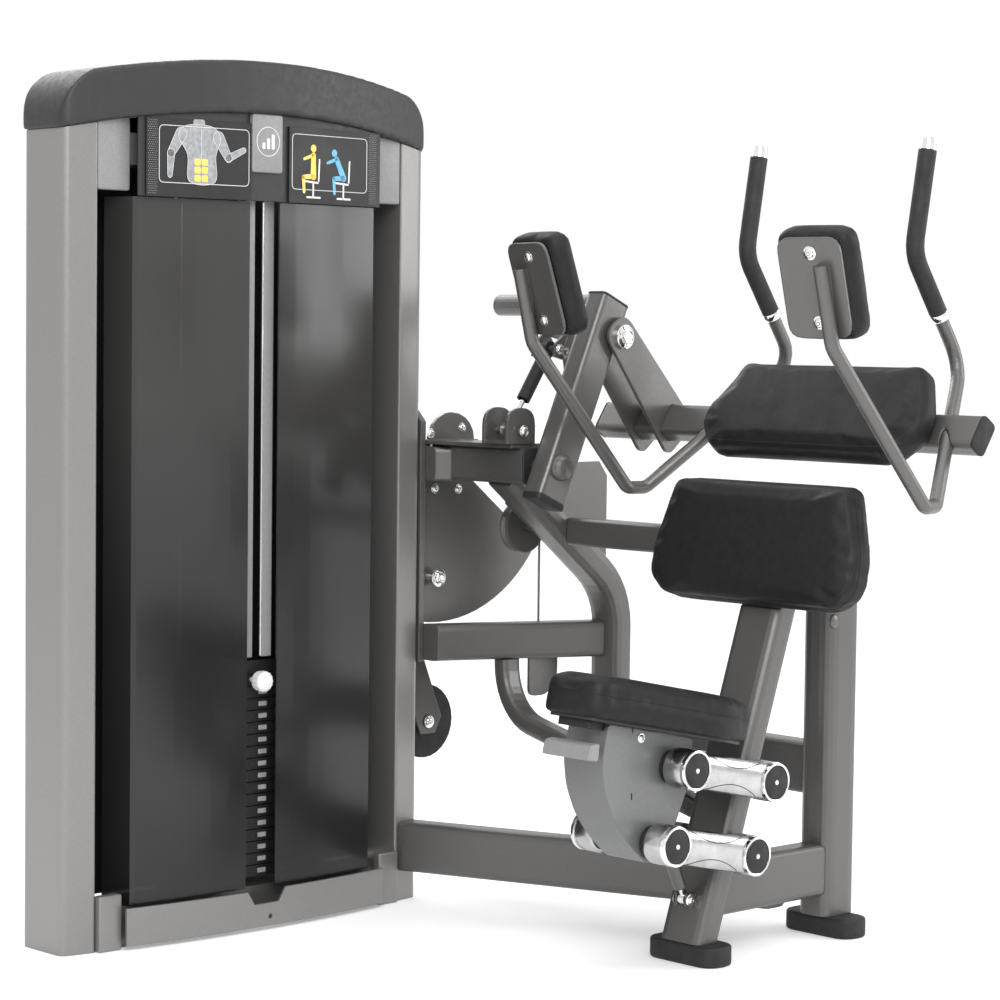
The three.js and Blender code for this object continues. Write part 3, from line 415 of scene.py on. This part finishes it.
def inward(outline, inset):
    """The outline moved inwards by `inset`, corner by corner."""
    if not inset:
        return outline
    count = len(outline)
    area = sum(a[0] * b[1] - b[0] * a[1] for a, b in zip(outline, outline[1:] + outline[:1]))
    sign = 1 if area > 0 else -1
    moved = []
    for i, (x, y) in enumerate(outline):
        before, after = Vector(outline[i - 1]), Vector(outline[(i + 1) % count])
        here = Vector((x, y))
        first = (here - before).normalized()
        second = (after - here).normalized()
        normal = Vector((-first.y - second.y, first.x + second.x)).normalized()
        stretch = max(0.5, normal.dot(Vector((-first.y, first.x))))
        moved.append(tuple(here + normal * sign * inset / stretch))
    return moved


def rounded(corners, radius, steps=6):
    """A closed outline with its corners rounded by quadratic curves."""
    outline = []
    count = len(corners)
    for i, corner in enumerate(corners):
        here = Vector(corner)
        before = here + (Vector(corners[i - 1]) - here).normalized() * radius
        after = here + (Vector(corners[(i + 1) % count]) - here).normalized() * radius
        for k in range(steps + 1):
            t = k / steps
            point = before * (1 - t) ** 2 + here * 2 * t * (1 - t) + after * t ** 2
            outline.append((point.x, point.y))
    return outline


def rectangle(width, height, radius, middle=(0, 0)):
    x, y = width / 2, height / 2
    corners = [(-x, -y), (x, -y), (x, y), (-x, y)]
    return rounded([(middle[0] + a, middle[1] + b) for a, b in corners], radius)


def spread(outline, step):
    """Evenly spaced points round an outline, each with its outward direction."""
    count = len(outline)
    sides = [(Vector(outline[i]), Vector(outline[(i + 1) % count])) for i in range(count)]
    total = sum((b - a).length for a, b in sides)
    amount = int(total / step)
    points = []
    walked, index = 0.0, 0
    for k in range(amount):
        target = total * k / amount
        while walked + (sides[index][1] - sides[index][0]).length < target:
            walked += (sides[index][1] - sides[index][0]).length
            index += 1
        a, b = sides[index]
        along = (b - a).normalized()
        points.append((a + along * (target - walked), Vector((along.y, -along.x))))
    return points


# ------------------------------------------------------------------ cushions
BOARD = 5  # thickness of the board that a cushion is upholstered on


def mesh_copy(node, name):
    mesh = frame["nodes"][node].data.copy()
    mesh.name = name
    made = bpy.data.objects.new(name, mesh)
    bpy.context.scene.collection.objects.link(made)
    return made


def apply_modifiers(piece):
    shown = piece.evaluated_get(bpy.context.evaluated_depsgraph_get())
    mesh = bpy.data.meshes.new_from_object(shown)
    old = piece.data
    piece.modifiers.clear()
    piece.data = mesh
    bpy.data.meshes.remove(old)


def remesh(piece, voxel):
    modifier = piece.modifiers.new("remesh", "REMESH")
    modifier.mode = "VOXEL"
    modifier.voxel_size = voxel * MM
    apply_modifiers(piece)


def relax(piece, rounds, strength=0.5):
    modifier = piece.modifiers.new("relax", "SMOOTH")
    modifier.iterations = rounds
    modifier.factor = strength
    apply_modifiers(piece)


def inflate(piece, base, pressure, most):
    """Swells a closed mesh with cloth pressure while its underside stays on the board."""
    inverse = base.inverted()
    held = piece.vertex_groups.new(name="board")
    low = [v.index for v in piece.data.vertices if (inverse @ v.co).z < BOARD + 5]
    held.add(low, 1.0, "REPLACE")
    start = [v.co.copy() for v in piece.data.vertices]
    cloth = piece.modifiers.new("cloth", "CLOTH")
    cloth.settings.use_pressure = True
    cloth.settings.uniform_pressure_force = pressure
    cloth.settings.vertex_group_mass = "board"
    cloth.settings.effector_weights.gravity = 0
    cloth.settings.tension_stiffness = 25
    cloth.settings.compression_stiffness = 25
    cloth.settings.bending_stiffness = 3
    scene = bpy.context.scene
    for step in range(1, 21):
        scene.frame_set(step)
    apply_modifiers(piece)
    scene.frame_set(1)
    for vertex, before in zip(piece.data.vertices, start):
        moved = vertex.co - before
        if moved.length > most * MM:
            vertex.co = before + moved.normalized() * most * MM
    piece.vertex_groups.clear()


def seam_rings(piece, outline, base, thickness):
    """The welt along a cushion's front edge and a row of stitches just inside it."""
    tree = BVHTree.FromObject(piece, bpy.context.evaluated_depsgraph_get())
    turn = base.to_3x3().normalized()
    welt = []
    for point, outward in spread(outline, 5):
        slope = Vector((outward.x * 0.8, outward.y * 0.8, 0.6))
        start = base @ (Vector((point.x, point.y, thickness * 0.62)) + slope * 90)
        hit = tree.ray_cast(start, -(turn @ slope).normalized())[0]
        if hit:
            welt.append(hit - (turn @ slope).normalized() * 0.4 * MM)
    stitches = Piece()
    for point, outward in spread(inward(outline, 15), 7):
        ends = []
        along = Vector((-outward.y, outward.x, 0))
        for reach in (-2.1, 2.1):
            start = base @ (Vector((point.x, point.y, thickness + 90)) + along * reach)
            hit = tree.ray_cast(start, -(turn @ Vector((0, 0, 1))))[0]
            if hit:
                ends.append(hit)
        if len(ends) == 2:
            stitches.tube(ends, 0.55, 5)
    return welt, stitches


def make_cushion(node, body, outline, base, thickness, most, welted=False):
    """Replaces a plain pad with a stuffed cushion, a board behind it, a welt and stitches."""
    cushion = mesh_copy(node, f"{node}_cushion")
    inverse = base.inverted()
    for vertex in cushion.data.vertices:
        spot = inverse @ vertex.co
        spot.x *= 0.99
        spot.y *= 0.985
        spot.z = BOARD + (thickness - BOARD - 3) * max(0, spot.z / thickness) ** 1.35
        vertex.co = base @ spot
    remesh(cushion, 5.5)
    inflate(cushion, base, 4.0, most)
    relax(cushion, 4)
    crown(cushion, base, outline, thickness)
    modifier = cushion.modifiers.new("fine", "SUBSURF")
    modifier.levels = modifier.render_levels = 1
    apply_modifiers(cushion)
    cushion.data.materials.clear()
    cushion.data.materials.append(FINISHES["vinyl"])
    cushion.data.shade_smooth()
    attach(cushion, body)
    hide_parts(node)
    welt, stitches = seam_rings(cushion, outline, base, thickness)
    if welted:
        Piece().tube(welt, 1.2, 8, closed=True).done(f"{node}_welt", FINISHES["vinyl"], body, "vinyl", 80)
    stitches.done(f"{node}_stitches", EXTRAS["thread"], body, "vinyl", 80)
    board = Piece().slab(inward(outline, 14), base, BOARD + 3, 1.5)
    board.done(f"{node}_board", FINISHES["cap_plastic"], body, "cap_plastic")
    return cushion


def crown(piece, base, outline, thickness):
    """Lowers the front face a little towards its border, as upholstery foam does."""
    inverse = base.inverted()
    wide = max(abs(x) for x, _ in outline)
    high = max(abs(y) for _, y in outline)
    for vertex in piece.data.vertices:
        spot = inverse @ vertex.co
        if spot.z > thickness * 0.5:
            border = max(abs(spot.x) / wide, abs(spot.y) / high)
            spot.z -= 3.5 * border ** 3
            ripple = noise.noise(Vector((spot.x, spot.y, 0)) / 70)
            spot.z += 0.5 * ripple
            vertex.co = base @ spot


def eight_sided(low, high, waist, base_width, top_width, bottom):
    """Half of a pad's outline, from its lowest middle corner round to the top, then mirrored."""
    right = [(base_width, bottom), *low, *waist, (top_width, high)]
    return right + [(-x, y) for x, y in reversed(right)]


def make_cushions():
    behind = Vector((math.cos(CROSS_LEAN), 0, -math.sin(CROSS_LEAN)))
    back_origin = Vector((CROSS[0], BENCH_Y, CROSS[1])) - behind * 21.3
    back = eight_sided([(270, -40)], 110, [(270, 6)], 224, 220, -94)
    make_cushion("back_pad", "carriage", rounded(back, 20), facing(back_origin, CROSS_LEAN), 62, 6)
    lumbar = eight_sided([(254, -84)], 114, [(256, -16)], 212, 218, -120)
    lumbar_base = facing((1058, BENCH_Y, 757), math.radians(10))
    make_cushion("lumbar_pad", "frame", rounded(lumbar, 22), lumbar_base, 64, 6, True)
    seat = [(-188, -66), (110, -134), (192, -104), (192, 104), (110, 134), (-188, 66)]
    make_cushion("seat_pad", "seat", rounded(seat, 27), seat_frame(), SEAT_THICKNESS, 6, True)
    for side, sign in (("near", -1), ("far", 1)):
        base = elbow_frame(sign) @ Matrix.Translation((0, 0, -52.3))
        make_cushion(f"{side}_elbow_pad", "carriage", rectangle(150, 200, 30), base, 52, 5)


def seat_frame():
    """The frame of the seat pad's underside: first axis towards the backrest, third axis up."""
    along = math.cos(SEAT_TILT), 0, -math.sin(SEAT_TILT)
    return place((SEAT[0], BENCH_Y, SEAT[1]), along, (0, 1, 0))


def elbow_frame(sign):
    """The frame of an elbow plate's front face; `sign` is -1 for the near arm and 1 for the far one."""
    origin = (ELBOW_PLATE[0], BENCH_Y + sign * ELBOW_OUT, ELBOW_PLATE[1])
    return facing(origin, 0, -sign * ELBOW_TOE) @ Matrix.Rotation(ELBOW_LEAN, 4, "X")


# ------------------------------------------------------------------ tower
def round_shoulders(piece, radius):
    """Rounds the two upper corners of the cap, seen from the front, to `radius` millimetres."""
    reach = radius * MM
    places = [v.co for v in piece.data.vertices]
    for sign in (1, -1):
        end = min(co.x * sign for co in places)
        inner = end + reach
        top = max(co.z for co in places if abs(co.x * sign - inner) < 6 * MM)
        for vertex in piece.data.vertices:
            out = inner - vertex.co.x * sign
            up = vertex.co.z - (top - reach)
            distance = math.hypot(out, up)
            if out > 0 and up > 0 and distance > reach:
                vertex.co.x = sign * (inner - out * reach / distance)
                vertex.co.z = top - reach + up * reach / distance


def soften(node, body, voxel, rounds, finish, shoulders=0):
    """A moulded version of a CAD node, every edge rounded; `shoulders` also rounds its upper corners."""
    made = mesh_copy(node, f"{node}_moulding")
    remesh(made, voxel)
    if shoulders:
        round_shoulders(made, shoulders)
    relax(made, rounds)
    made.data.materials.clear()
    made.data.materials.append(finish)
    made.data.shade_smooth()
    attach(made, body)
    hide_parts(node)
    return made


def block(name, low, high, radius, finish, body, slot, edge=2.0):
    """A moulded block between two corners, its face towards the front, -Y."""
    width, height = high[0] - low[0], high[2] - low[2]
    middle = ((low[0] + high[0]) / 2, high[1], (low[2] + high[2]) / 2)
    piece = Piece().slab(rectangle(width, height, radius), place(middle), high[1] - low[1], edge)
    return piece.done(name, finish, body, slot)


def make_tower_trim():
    soften("tower_cap", "frame", 4.0, 14, FINISHES["cap_plastic"], CAP_CORNER)
    for side, flip in (("left", 1), ("right", -1)):
        def x_range(a, b):
            return sorted((TOWER_MID + flip * (a - TOWER_MID), TOWER_MID + flip * (b - TOWER_MID)))
        near, far = x_range(69, 141)
        shoulder = (near, -10, 1392), (far, -1, 1530)
        block(f"{side}_shoulder_block", *shoulder, 6, EXTRAS["light_grey"], "frame", "light_plastic", 4)
        near, far = x_range(69, 119)
        block(f"{side}_base_block", (near, -24, 0.5), (far, -7, 104), 4, FINISHES["column_paint"], "frame",
              "column_paint", 3)
        near, far = x_range(397, 421)
        block(f"{side}_guide_strip", (near, -22, 520), (far, -14, 1424), 2, EXTRAS["light_grey"], "frame",
              "light_plastic", 1)
    bead = [at(441.5, -20, 522), at(441.5, -20, 1422)]
    Piece().tube(bead, 2.0, 10).done("guide_bead", FINISHES["chrome"], "frame", "chrome")
    make_header()
    badge = (386, -58, 1436), (458, -46, 1545)
    block("badge_block", *badge, 6, EXTRAS["light_grey"], "frame", "light_plastic", 3)
    face = place(((badge[0][0] + badge[1][0]) / 2, -58.2, 1494))
    ring = [face @ Vector((27 * math.cos(a), 27 * math.sin(a), 0)) for a in spokes(60)]
    emblem = Piece().tube(ring, 0.8, 6, closed=True)
    for i, tall in enumerate((12, 20, 28)):
        emblem.slab(rectangle(7, tall, 2, (-11 + 11 * i, -14 + tall / 2)), face, 0.8)
    emblem.done("badge_emblem", EXTRAS["white_print"], "frame", "placard_gloss")


def make_header():
    """The dark curved panel behind the placards, up under the cap."""
    rings = []
    for k in range(25):
        x = 142 + (TOWER_WIDTH - 284) * k / 24
        y = -8 - 38 * (1 - ((x - TOWER_MID) / TOWER_MID) ** 2)
        rings.append([at(x, y, 1383), at(x, y - 3, 1383), at(x, y - 3, 1545), at(x, y, 1545)])
    Piece().rings(rings).done("placard_header", FINISHES["cap_plastic"], "frame", "cap_plastic")


def spokes(count):
    return [math.tau * i / count for i in range(count)]


def smooth_loop(points, steps=6):
    """A closed Catmull-Rom curve through the points."""
    count = len(points)
    curve = []
    for i in range(count):
        a, b, c, d = (Vector(points[(i + k) % count]) for k in (-1, 0, 1, 2))
        for k in range(steps):
            t = k / steps
            point = 0.5 * (2 * b + (c - a) * t + (2 * a - 5 * b + 4 * c - d) * t ** 2
                           + (3 * b - a - 3 * c + d) * t ** 3)
            curve.append((point.x, point.y))
    return curve


def capsule(start, end, thick, thin=None):
    """A limb's outline: two round ends joined by straight sides."""
    a, b = Vector(start), Vector(end)
    along = (b - a).normalized()
    side = Vector((-along.y, along.x))
    outline = []
    for centre, radius, turn in ((a, thick, math.pi / 2), (b, thin or thick, -math.pi / 2)):
        for k in range(9):
            angle = turn + math.pi * k / 8
            outline.append(tuple(centre + (along * math.cos(angle) + side * math.sin(angle)) * radius))
    return outline


def make_placards():
    face_y = -14, -40
    outer, inner = 156, 387
    ends = [(x, face_y[0] + face_y[1] * (1 - ((x - TOWER_MID) / TOWER_MID) ** 2)) for x in (outer, inner)]
    across = Vector((ends[1][0] - ends[0][0], ends[1][1] - ends[0][1], 0))
    left = place((ends[0][0], ends[0][1] - 0.2, 1383), across)
    right_across = Vector((across.x, -across.y, 0))
    right = place((TOWER_WIDTH - ends[1][0], ends[1][1] - 0.2, 1383), right_across)
    width = across.length
    for side, face in (("left", left), ("right", right)):
        hatch_x = 12 if side == "left" else width - 12
        line = rectangle(width - 34, 104, 10, (width / 2 + (10 if side == "left" else -10), 78))
        points = [face @ Vector((u, v, 0.3)) for u, v in line]
        Piece().tube(points, 0.7, 6, closed=True).done(
            f"{side}_placard_border", EXTRAS["white_print"], "frame", "placard_gloss")
        hatch = Piece()
        for row in range(34):
            for column in range(5):
                u = hatch_x - 8 + 4 * column + (2 if row % 2 else 0)
                hatch.slab(rectangle(1.3, 1.3, 0.3, (u, 6 + 4 * row)), face, 0.4)
        hatch.done(f"{side}_placard_hatch", EXTRAS["grey_print"], "frame", "placard_gloss")
    torso_art(left)
    use_art(right)


def torso_art(face):
    """A generic torso and arms, with the stomach muscles picked out in yellow."""
    chest = [(86, 132), (140, 132), (160, 112), (150, 78), (148, 30), (92, 30), (88, 78), (68, 112)]
    chest = smooth_loop(chest)
    limbs = [capsule((74, 116), (52, 80), 12, 8), capsule((52, 80), (50, 40), 8, 5)]
    limbs += [capsule((156, 112), (178, 76), 12, 8), capsule((178, 76), (212, 92), 7, 5)]
    art = Piece().slab(chest, face, 0.5)
    for limb in limbs:
        art.slab(limb, face, 0.7)
    art.slab(rectangle(26, 16, 6, (113, 136)), face, 0.8)
    art.done("torso_art", EXTRAS["grey_print"], "frame", "placard_gloss")
    lines = Piece()
    for outline in [chest, *limbs]:
        lines.tube([face @ Vector((u, v, 0.9)) for u, v in outline], 0.45, 5, closed=True)
    lines.tube([face @ Vector((118, v, 0.9)) for v in (70, 90, 110, 126)], 0.45, 5)
    lines.done("torso_lines", EXTRAS["white_print"], "frame", "placard_gloss")
    belly = Piece()
    for row in range(3):
        for column in range(2):
            middle = (110 + 16 * column, 66 - 15 * row)
            belly.slab(rectangle(13.5, 12.5, 4, middle), face, 1.2, 0.4)
    belly.done("torso_highlight", EXTRAS["yellow_print"], "frame", "placard_gloss")


def use_art(face):
    """Two generic seated figures: upright, and bent forward."""
    for name, finish, base, lean in (("first", "yellow_print", 62, 0), ("second", "blue_print", 142, 28)):
        turn = math.radians(lean)
        hip = Vector((base, 52))
        neck = hip + Vector((-math.sin(turn), math.cos(turn))) * 40
        hand = neck + Vector((-24, -8))
        figure = Piece()
        crown_of_head = neck + Vector((-math.sin(turn), math.cos(turn))) * 13
        head = [tuple(crown_of_head + Vector((math.cos(a), math.sin(a))) * 7) for a in spokes(20)]
        figure.slab(head, face, 0.8)
        for start, end, radius in ((hip, neck, 7), (neck, hand, 3.4), (hip, hip + Vector((-26, -2)), 5),
                                   (hip + Vector((-26, -2)), hip + Vector((-24, -30)), 4)):
            figure.slab(capsule(start, end, radius, radius * 0.8), face, 0.8)
        figure.done(f"{name}_use_figure", EXTRAS[finish], "frame", "placard_gloss")
        seat = Piece()
        for start, end in (((base + 12, 40), (base - 20, 42)), ((base + 14, 44), (base + 16, 84)),
                           ((base, 40), (base, 12)), ((base - 16, 12), (base + 18, 12))):
            seat.slab(capsule(start, end, 1.8), face, 0.6)
        seat.done(f"{name}_use_machine", EXTRAS["white_print"], "frame", "placard_gloss")


def make_stack_trim():
    labels = Piece()
    # The pin holes are dark discs on the plates: painted shade for the inside of each hole.
    holes = Piece()
    for plate in range(16):
        z = 95 + 23 * plate + 10.4
        holes.turned(place((TOWER_MID, -8.2, z)), [(5.2, 0), (5.2, 0.6), (0, 0.6)], 18)
        labels.slab(rectangle(20, 9, 1.5, (26, 0)), place((TOWER_MID, -8.2, z)), 0.4)
    holes.done("plate_pin_hole_shade", EXTRAS["groove_shade"], "frame", "stack_iron")
    labels.done("plate_labels", EXTRAS["grey_print"], "frame", "stack_iron")
    knob = Piece()
    front = place((TOWER_MID, -52, PIN_Z))
    knob.turned(front, [(12, -1.5), (12, 0.2), (10, 1.2), (0, 1.2)], 32)
    for angle in spokes(14):
        spot = 18.8 * math.cos(angle), 18.8 * math.sin(angle)
        knob.tube([front @ Vector((*spot, z)) for z in (-4, -18)], 1.3, 6)
    knob.done("selector_knob_ribs", EXTRAS["white_plastic"], "pin", "light_plastic")
    frame["nodes"]["selector_pin"].data.materials.clear()
    frame["nodes"]["selector_pin"].data.materials.append(EXTRAS["white_plastic"])
    top = place((TOWER_MID, 42, 525), (1, 0, 0), (0, 1, 0))
    swage = Piece().turned(top, [(9, 0), (9, 16), (7, 22), (5.2, 46), (4.6, 60)], 24)
    swage.done("cable_swage", FINISHES["chrome"], "head_stack", "chrome")


# ------------------------------------------------------------------ hardware
def near_face(x, y, z):
    """A face that looks along -Y."""
    return place((x, y, z))


def far_face(x, y, z):
    """A face that looks along +Y."""
    return place((x, y, z), (-1, 0, 0))


def end_cap(name, centre, along, side, width, depth, radius, body, tall=5):
    """A black plug on the end of a box tube."""
    direction = Vector(along).normalized()
    up = direction.cross(Vector(side)).normalized()
    base = place(centre, side, up)
    piece = Piece().slab(rectangle(width, depth, radius), base, tall, 2.5)
    return piece.done(name, FINISHES["grip_rubber"], body, "grip_rubber")


def make_lever_trim():
    up = Vector((170, 0, 386)).normalized()
    low = Vector((915, LEVER_Y, 821))
    high = low + up * math.hypot(170, 386)
    end_cap("lever_top_cap", high, up, (0, -1, 0), 51, 77, 11, "lever")
    end_cap("lever_foot_cap", low, -up, (0, 1, 0), 51, 77, 11, "lever", 12)
    dome = Piece().turned(near_face(PIVOT[0], -330.3, PIVOT[1]), dome_profile(26, 15), 48)
    dome.done("pivot_cover", FINISHES["frame_paint"], "lever", "frame_paint", 60)
    rounding = [(21.5, -1), (20.5, 0.6), (16, 1.3), (8, 1.6), (0, 1.7)]  # clears the right column
    arm_end = Piece().turned(far_face(1068, -15.2, 1198), rounding, 40)
    arm_end.done("counterweight_end", FINISHES["frame_paint"], "lever", "frame_paint", 60)
    bolts = Piece()
    big = near_face(920, 22, 645)
    bolts.turned(big, [(9, -2), (9, 20), (0, 20)], 28)
    bolts.bolt(big @ Matrix.Translation((0, 0, 20)), 13, 10)
    for x, z in ((990, 822), (925, 825)):
        bolts.bolt(near_face(x, 22, z), 7)
    bolts.bolt(near_face(STRUT_HEAD[0], -246, STRUT_HEAD[1]), 7)
    bolts.bolt(far_face(STRUT_HEAD[0], -180, STRUT_HEAD[1]), 7)
    bolts.done("lever_bolts", FINISHES["chrome"], "lever", "chrome")


def dome_profile(radius, height):
    profile = [(radius, -2)]
    for k in range(11):
        angle = math.pi / 2 * k / 10
        profile.append((radius * math.cos(angle), height * math.sin(angle)))
    return profile


def make_frame_hardware():
    bolts = Piece()
    bolts.bolt(near_face(STRUT_FOOT[0], -258, STRUT_FOOT[1]), 8)
    bolts.bolt(far_face(STRUT_FOOT[0], -172, STRUT_FOOT[1]), 8)
    bolts.bolt(near_face(978, -0.3, 948), 7)
    bolts.bolt(near_face(892, -0.3, 938), 7)
    for z in (560, 900):
        bolts.bolt(place((877.8, 70, z), (0, 1, 0), (0, 0, 1)), 8)
    bolts.bolt(near_face(838, BENCH_Y - 16, 116), 8)
    bolts.bolt(far_face(838, BENCH_Y + 16, 116), 8)
    bolts.bolt(near_face(948, 57.5, 343), 9)
    bolts.done("frame_bolts", FINISHES["chrome"], "frame", "chrome")
    end_cap("housing_end_cap", (PIVOT[0], -258.3, PIVOT[1]), (0, -1, 0), (1, 0, 0), 73, 73, 15, "frame", 4)
    plug = Piece().turned(near_face(1205, BENCH_Y - 37.2, 604), [(13, 0), (13, 1), (10, 2.4), (0, 2.8)], 36)
    plug.done("rear_post_plug", FINISHES["frame_paint"], "frame", "frame_paint", 60)
    for name in ("rear", "front"):
        soften(f"{name}_foot", "frame", 2.5, 6, FINISHES["grip_rubber"])


def make_yoke_trim():
    centre = near_face(SWING[0], -352, SWING[1])
    piece = Piece().turned(centre, [(24, -7.5), (24, 0.5), (22, 2), (0, 2)], 44)
    piece.turned(centre, [(15, 2), (15, 8), (13, 10.5), (0, 11)], 6)
    piece.turned(centre, [(6, 10), (6, 12.5), (5, 13.5), (0, 13.5)], 24)
    piece.done("swing_bolt", FINISHES["chrome"], "carriage", "chrome")
    lean = (math.cos(CROSS_LEAN), 0, -math.sin(CROSS_LEAN))
    end_cap("cross_tube_cap", (CROSS[0], -1112.2, CROSS[1]), (0, -1, 0), lean, 43, 69, 12, "carriage", 6)
    end_cap("cross_tube_far_cap", (CROSS[0], -164.8, CROSS[1]), (0, 1, 0), lean, 43, 69, 12, "carriage", 4)
    for side, sign in (("near", -1), ("far", 1)):
        make_handle_trim(side, sign)


def make_handle_trim(side, sign):
    y = BENCH_Y + sign * GRIP_OUT
    tip, bend, low = [Vector((x, y, z)) for x, z in HANDLE]
    axis = (tip - bend).normalized()
    chrome = Piece()
    top = orient(tip, axis)
    cap = [(14.6, -22), (15.4, -21), (15.4, -3), (14.4, 0.5), (12.5, 1.6), (11, 1.2), (0, 1.2)]
    chrome.turned(top, cap, 40)
    axis = (low - bend).normalized()
    ring = orient(low.lerp(bend, 0.48), axis)
    chrome.turned(ring, [(13.2, -1), (17.6, -1), (18.2, 0.4), (18.2, 12), (17.4, 13.4), (13.2, 13.4)], 40)
    chrome.done(f"{side}_handle_chrome", FINISHES["chrome"], "carriage", "chrome", 30)
    face = elbow_frame(sign) @ Matrix.Translation((0, 0, 6.1))
    bolts = Piece()
    for height in (62, -61):
        bolts.bolt(face @ Matrix.Translation((2, height, 0)), 8.5)
    bolts.done(f"{side}_elbow_bolts", FINISHES["chrome"], "carriage", "chrome")


def orient(origin, axis):
    """A frame in millimetres whose third axis lies along `axis`."""
    turn = Vector(axis).normalized().to_track_quat("Z", "Y").to_matrix().to_4x4()
    return Matrix.Translation(at(*origin)) @ turn @ Matrix.Scale(MM, 4)


# ------------------------------------------------------------------ seat linkage
def make_links():
    for level, (front, rear) in LINKS.items():
        for side, sign in (("near", -1), ("far", 1)):
            make_link(level, side, sign, Vector((front[0], 0, front[1])), Vector((rear[0], 0, rear[1])))


def link_surface(front, rear, middle_y, u, angle):
    """A point on the polished saddle between two hubs: u runs 0 to 1 along it."""
    along = (rear - front).normalized()
    side = Vector((0, 1, 0)).cross(along)
    deep = 17.5 - 2.5 * (1 - abs(2 * u - 1) ** 2.2)
    cosine, sine = math.cos(angle), math.sin(angle)
    height = LINK_HALF * math.copysign(abs(sine) ** 0.85, sine)
    depth = deep * math.copysign(abs(cosine) ** 0.85, cosine)
    spot = front.lerp(rear, u) + side * height
    return at(spot.x, middle_y + depth, spot.z)


def make_link(level, side, sign, front, rear):
    body = f"{level}_link"
    middle_y = BENCH_Y + sign * sum(LINK_OUT) / 2
    saddle = Piece()
    rings = []
    for k in range(33):
        u = 0.04 + 0.92 * k / 32
        rings.append([link_surface(front, rear, middle_y, u, a) for a in spokes(48)])
    saddle.rings(rings)
    chrome = Piece()
    discs = Piece()
    dots = Piece()
    for hub in (front, rear):
        outer_y = BENCH_Y + sign * LINK_OUT[1]
        face = near_face(hub.x, outer_y, hub.z) if sign < 0 else far_face(hub.x, outer_y, hub.z)
        barrel = [(20, -52), (33, -52), (36, -50), (36.5, -46), (36.5, -10), (35, -8), (33, -8)]
        saddle.turned(face, barrel, 56)
        ring = [(34, -9), (36.8, -8), (37, -3), (36, 0.5), (34, 1.6), (31.5, 0.6), (30.5, -3), (0, -3)]
        chrome.turned(face, ring, 56)
        discs.turned(face, [(20, -64), (30, -64), (30, -51.5), (20, -51.5)], 48)
        discs.turned(face, [(30.3, -3), (30.3, -0.6), (29, 0.4), (12, 0.9), (0, 1)], 48)
        dots.turned(face, [(4.4, 0.8), (4.4, 1.6), (3.4, 2.4), (0, 2.6)], 24)
    arm = saddle.done(f"{level}_link_arm_{side}", FINISHES["link_silver"], body, "link_silver", 50)
    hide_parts(f"{level}_link_{side}")
    chrome.done(f"{level}_link_rings_{side}", FINISHES["chrome"], body, "chrome", 35)
    discs.done(f"{level}_link_discs_{side}", FINISHES["grip_rubber"], body, "grip_rubber", 60)
    dots.done(f"{level}_link_pins_{side}", EXTRAS["white_plastic"], body, "light_plastic", 60)
    # Dark lines along the arm's two seams: painted shade of the seam grooves.
    seams = Piece()
    for top in (1, -1):
        points = []
        for k in range(25):
            share = k / 24
            height = LINK_HALF - 18 * math.sin(math.pi * share)
            lift = math.asin((height / LINK_HALF) ** (1 / 0.85))
            angle = lift if sign > 0 else math.pi - lift
            points.append(link_surface(front, rear, middle_y, 0.15 + 0.7 * share, top * angle))
        seams.tube(points, 0.8, 6)
    seams.done(f"{level}_link_seam_shade_{side}", EXTRAS["groove_shade"], body, "link_silver", 80)


def make_seat_trim():
    # Dark marks on the shell's sides: painted shade for the inside of its slots.
    slots = Piece()
    for sign in (-1, 1):
        face = near_face if sign < 0 else far_face
        y = BENCH_Y + sign * 48.2
        for x, z, tall in ((646, 452, 18), (646, 330, 12)):
            slots.slab(rectangle(2.6, tall, 1.2), face(x, y, z), 0.5)
    slots.done("shell_slot_shade", EXTRAS["groove_shade"], "seat", "light_plastic")
    screws = Piece()
    for sign in (-1, 1):
        face = near_face if sign < 0 else far_face
        screws.bolt(face(668, BENCH_Y + sign * 48.2, 432), 6)
    screws.done("shell_screws", FINISHES["chrome"], "seat", "chrome")
    under = seat_frame() @ Matrix.Translation((0, 0, -14))
    bracket = Piece().slab(rectangle(44, 80, 8, (-142, 0)), under, 14, 1)
    bracket.done("seat_bracket", FINISHES["stack_iron"], "seat", "stack_iron")
    soften("seat_lever", "seat_release", 2.0, 5, EXTRAS["light_grey"])


make_camera()
make_studio()
make_floor()
finish_cad_nodes()
make_cushions()
make_tower_trim()
make_placards()
make_stack_trim()
make_lever_trim()
make_frame_hardware()
make_yoke_trim()
make_links()
make_seat_trim()
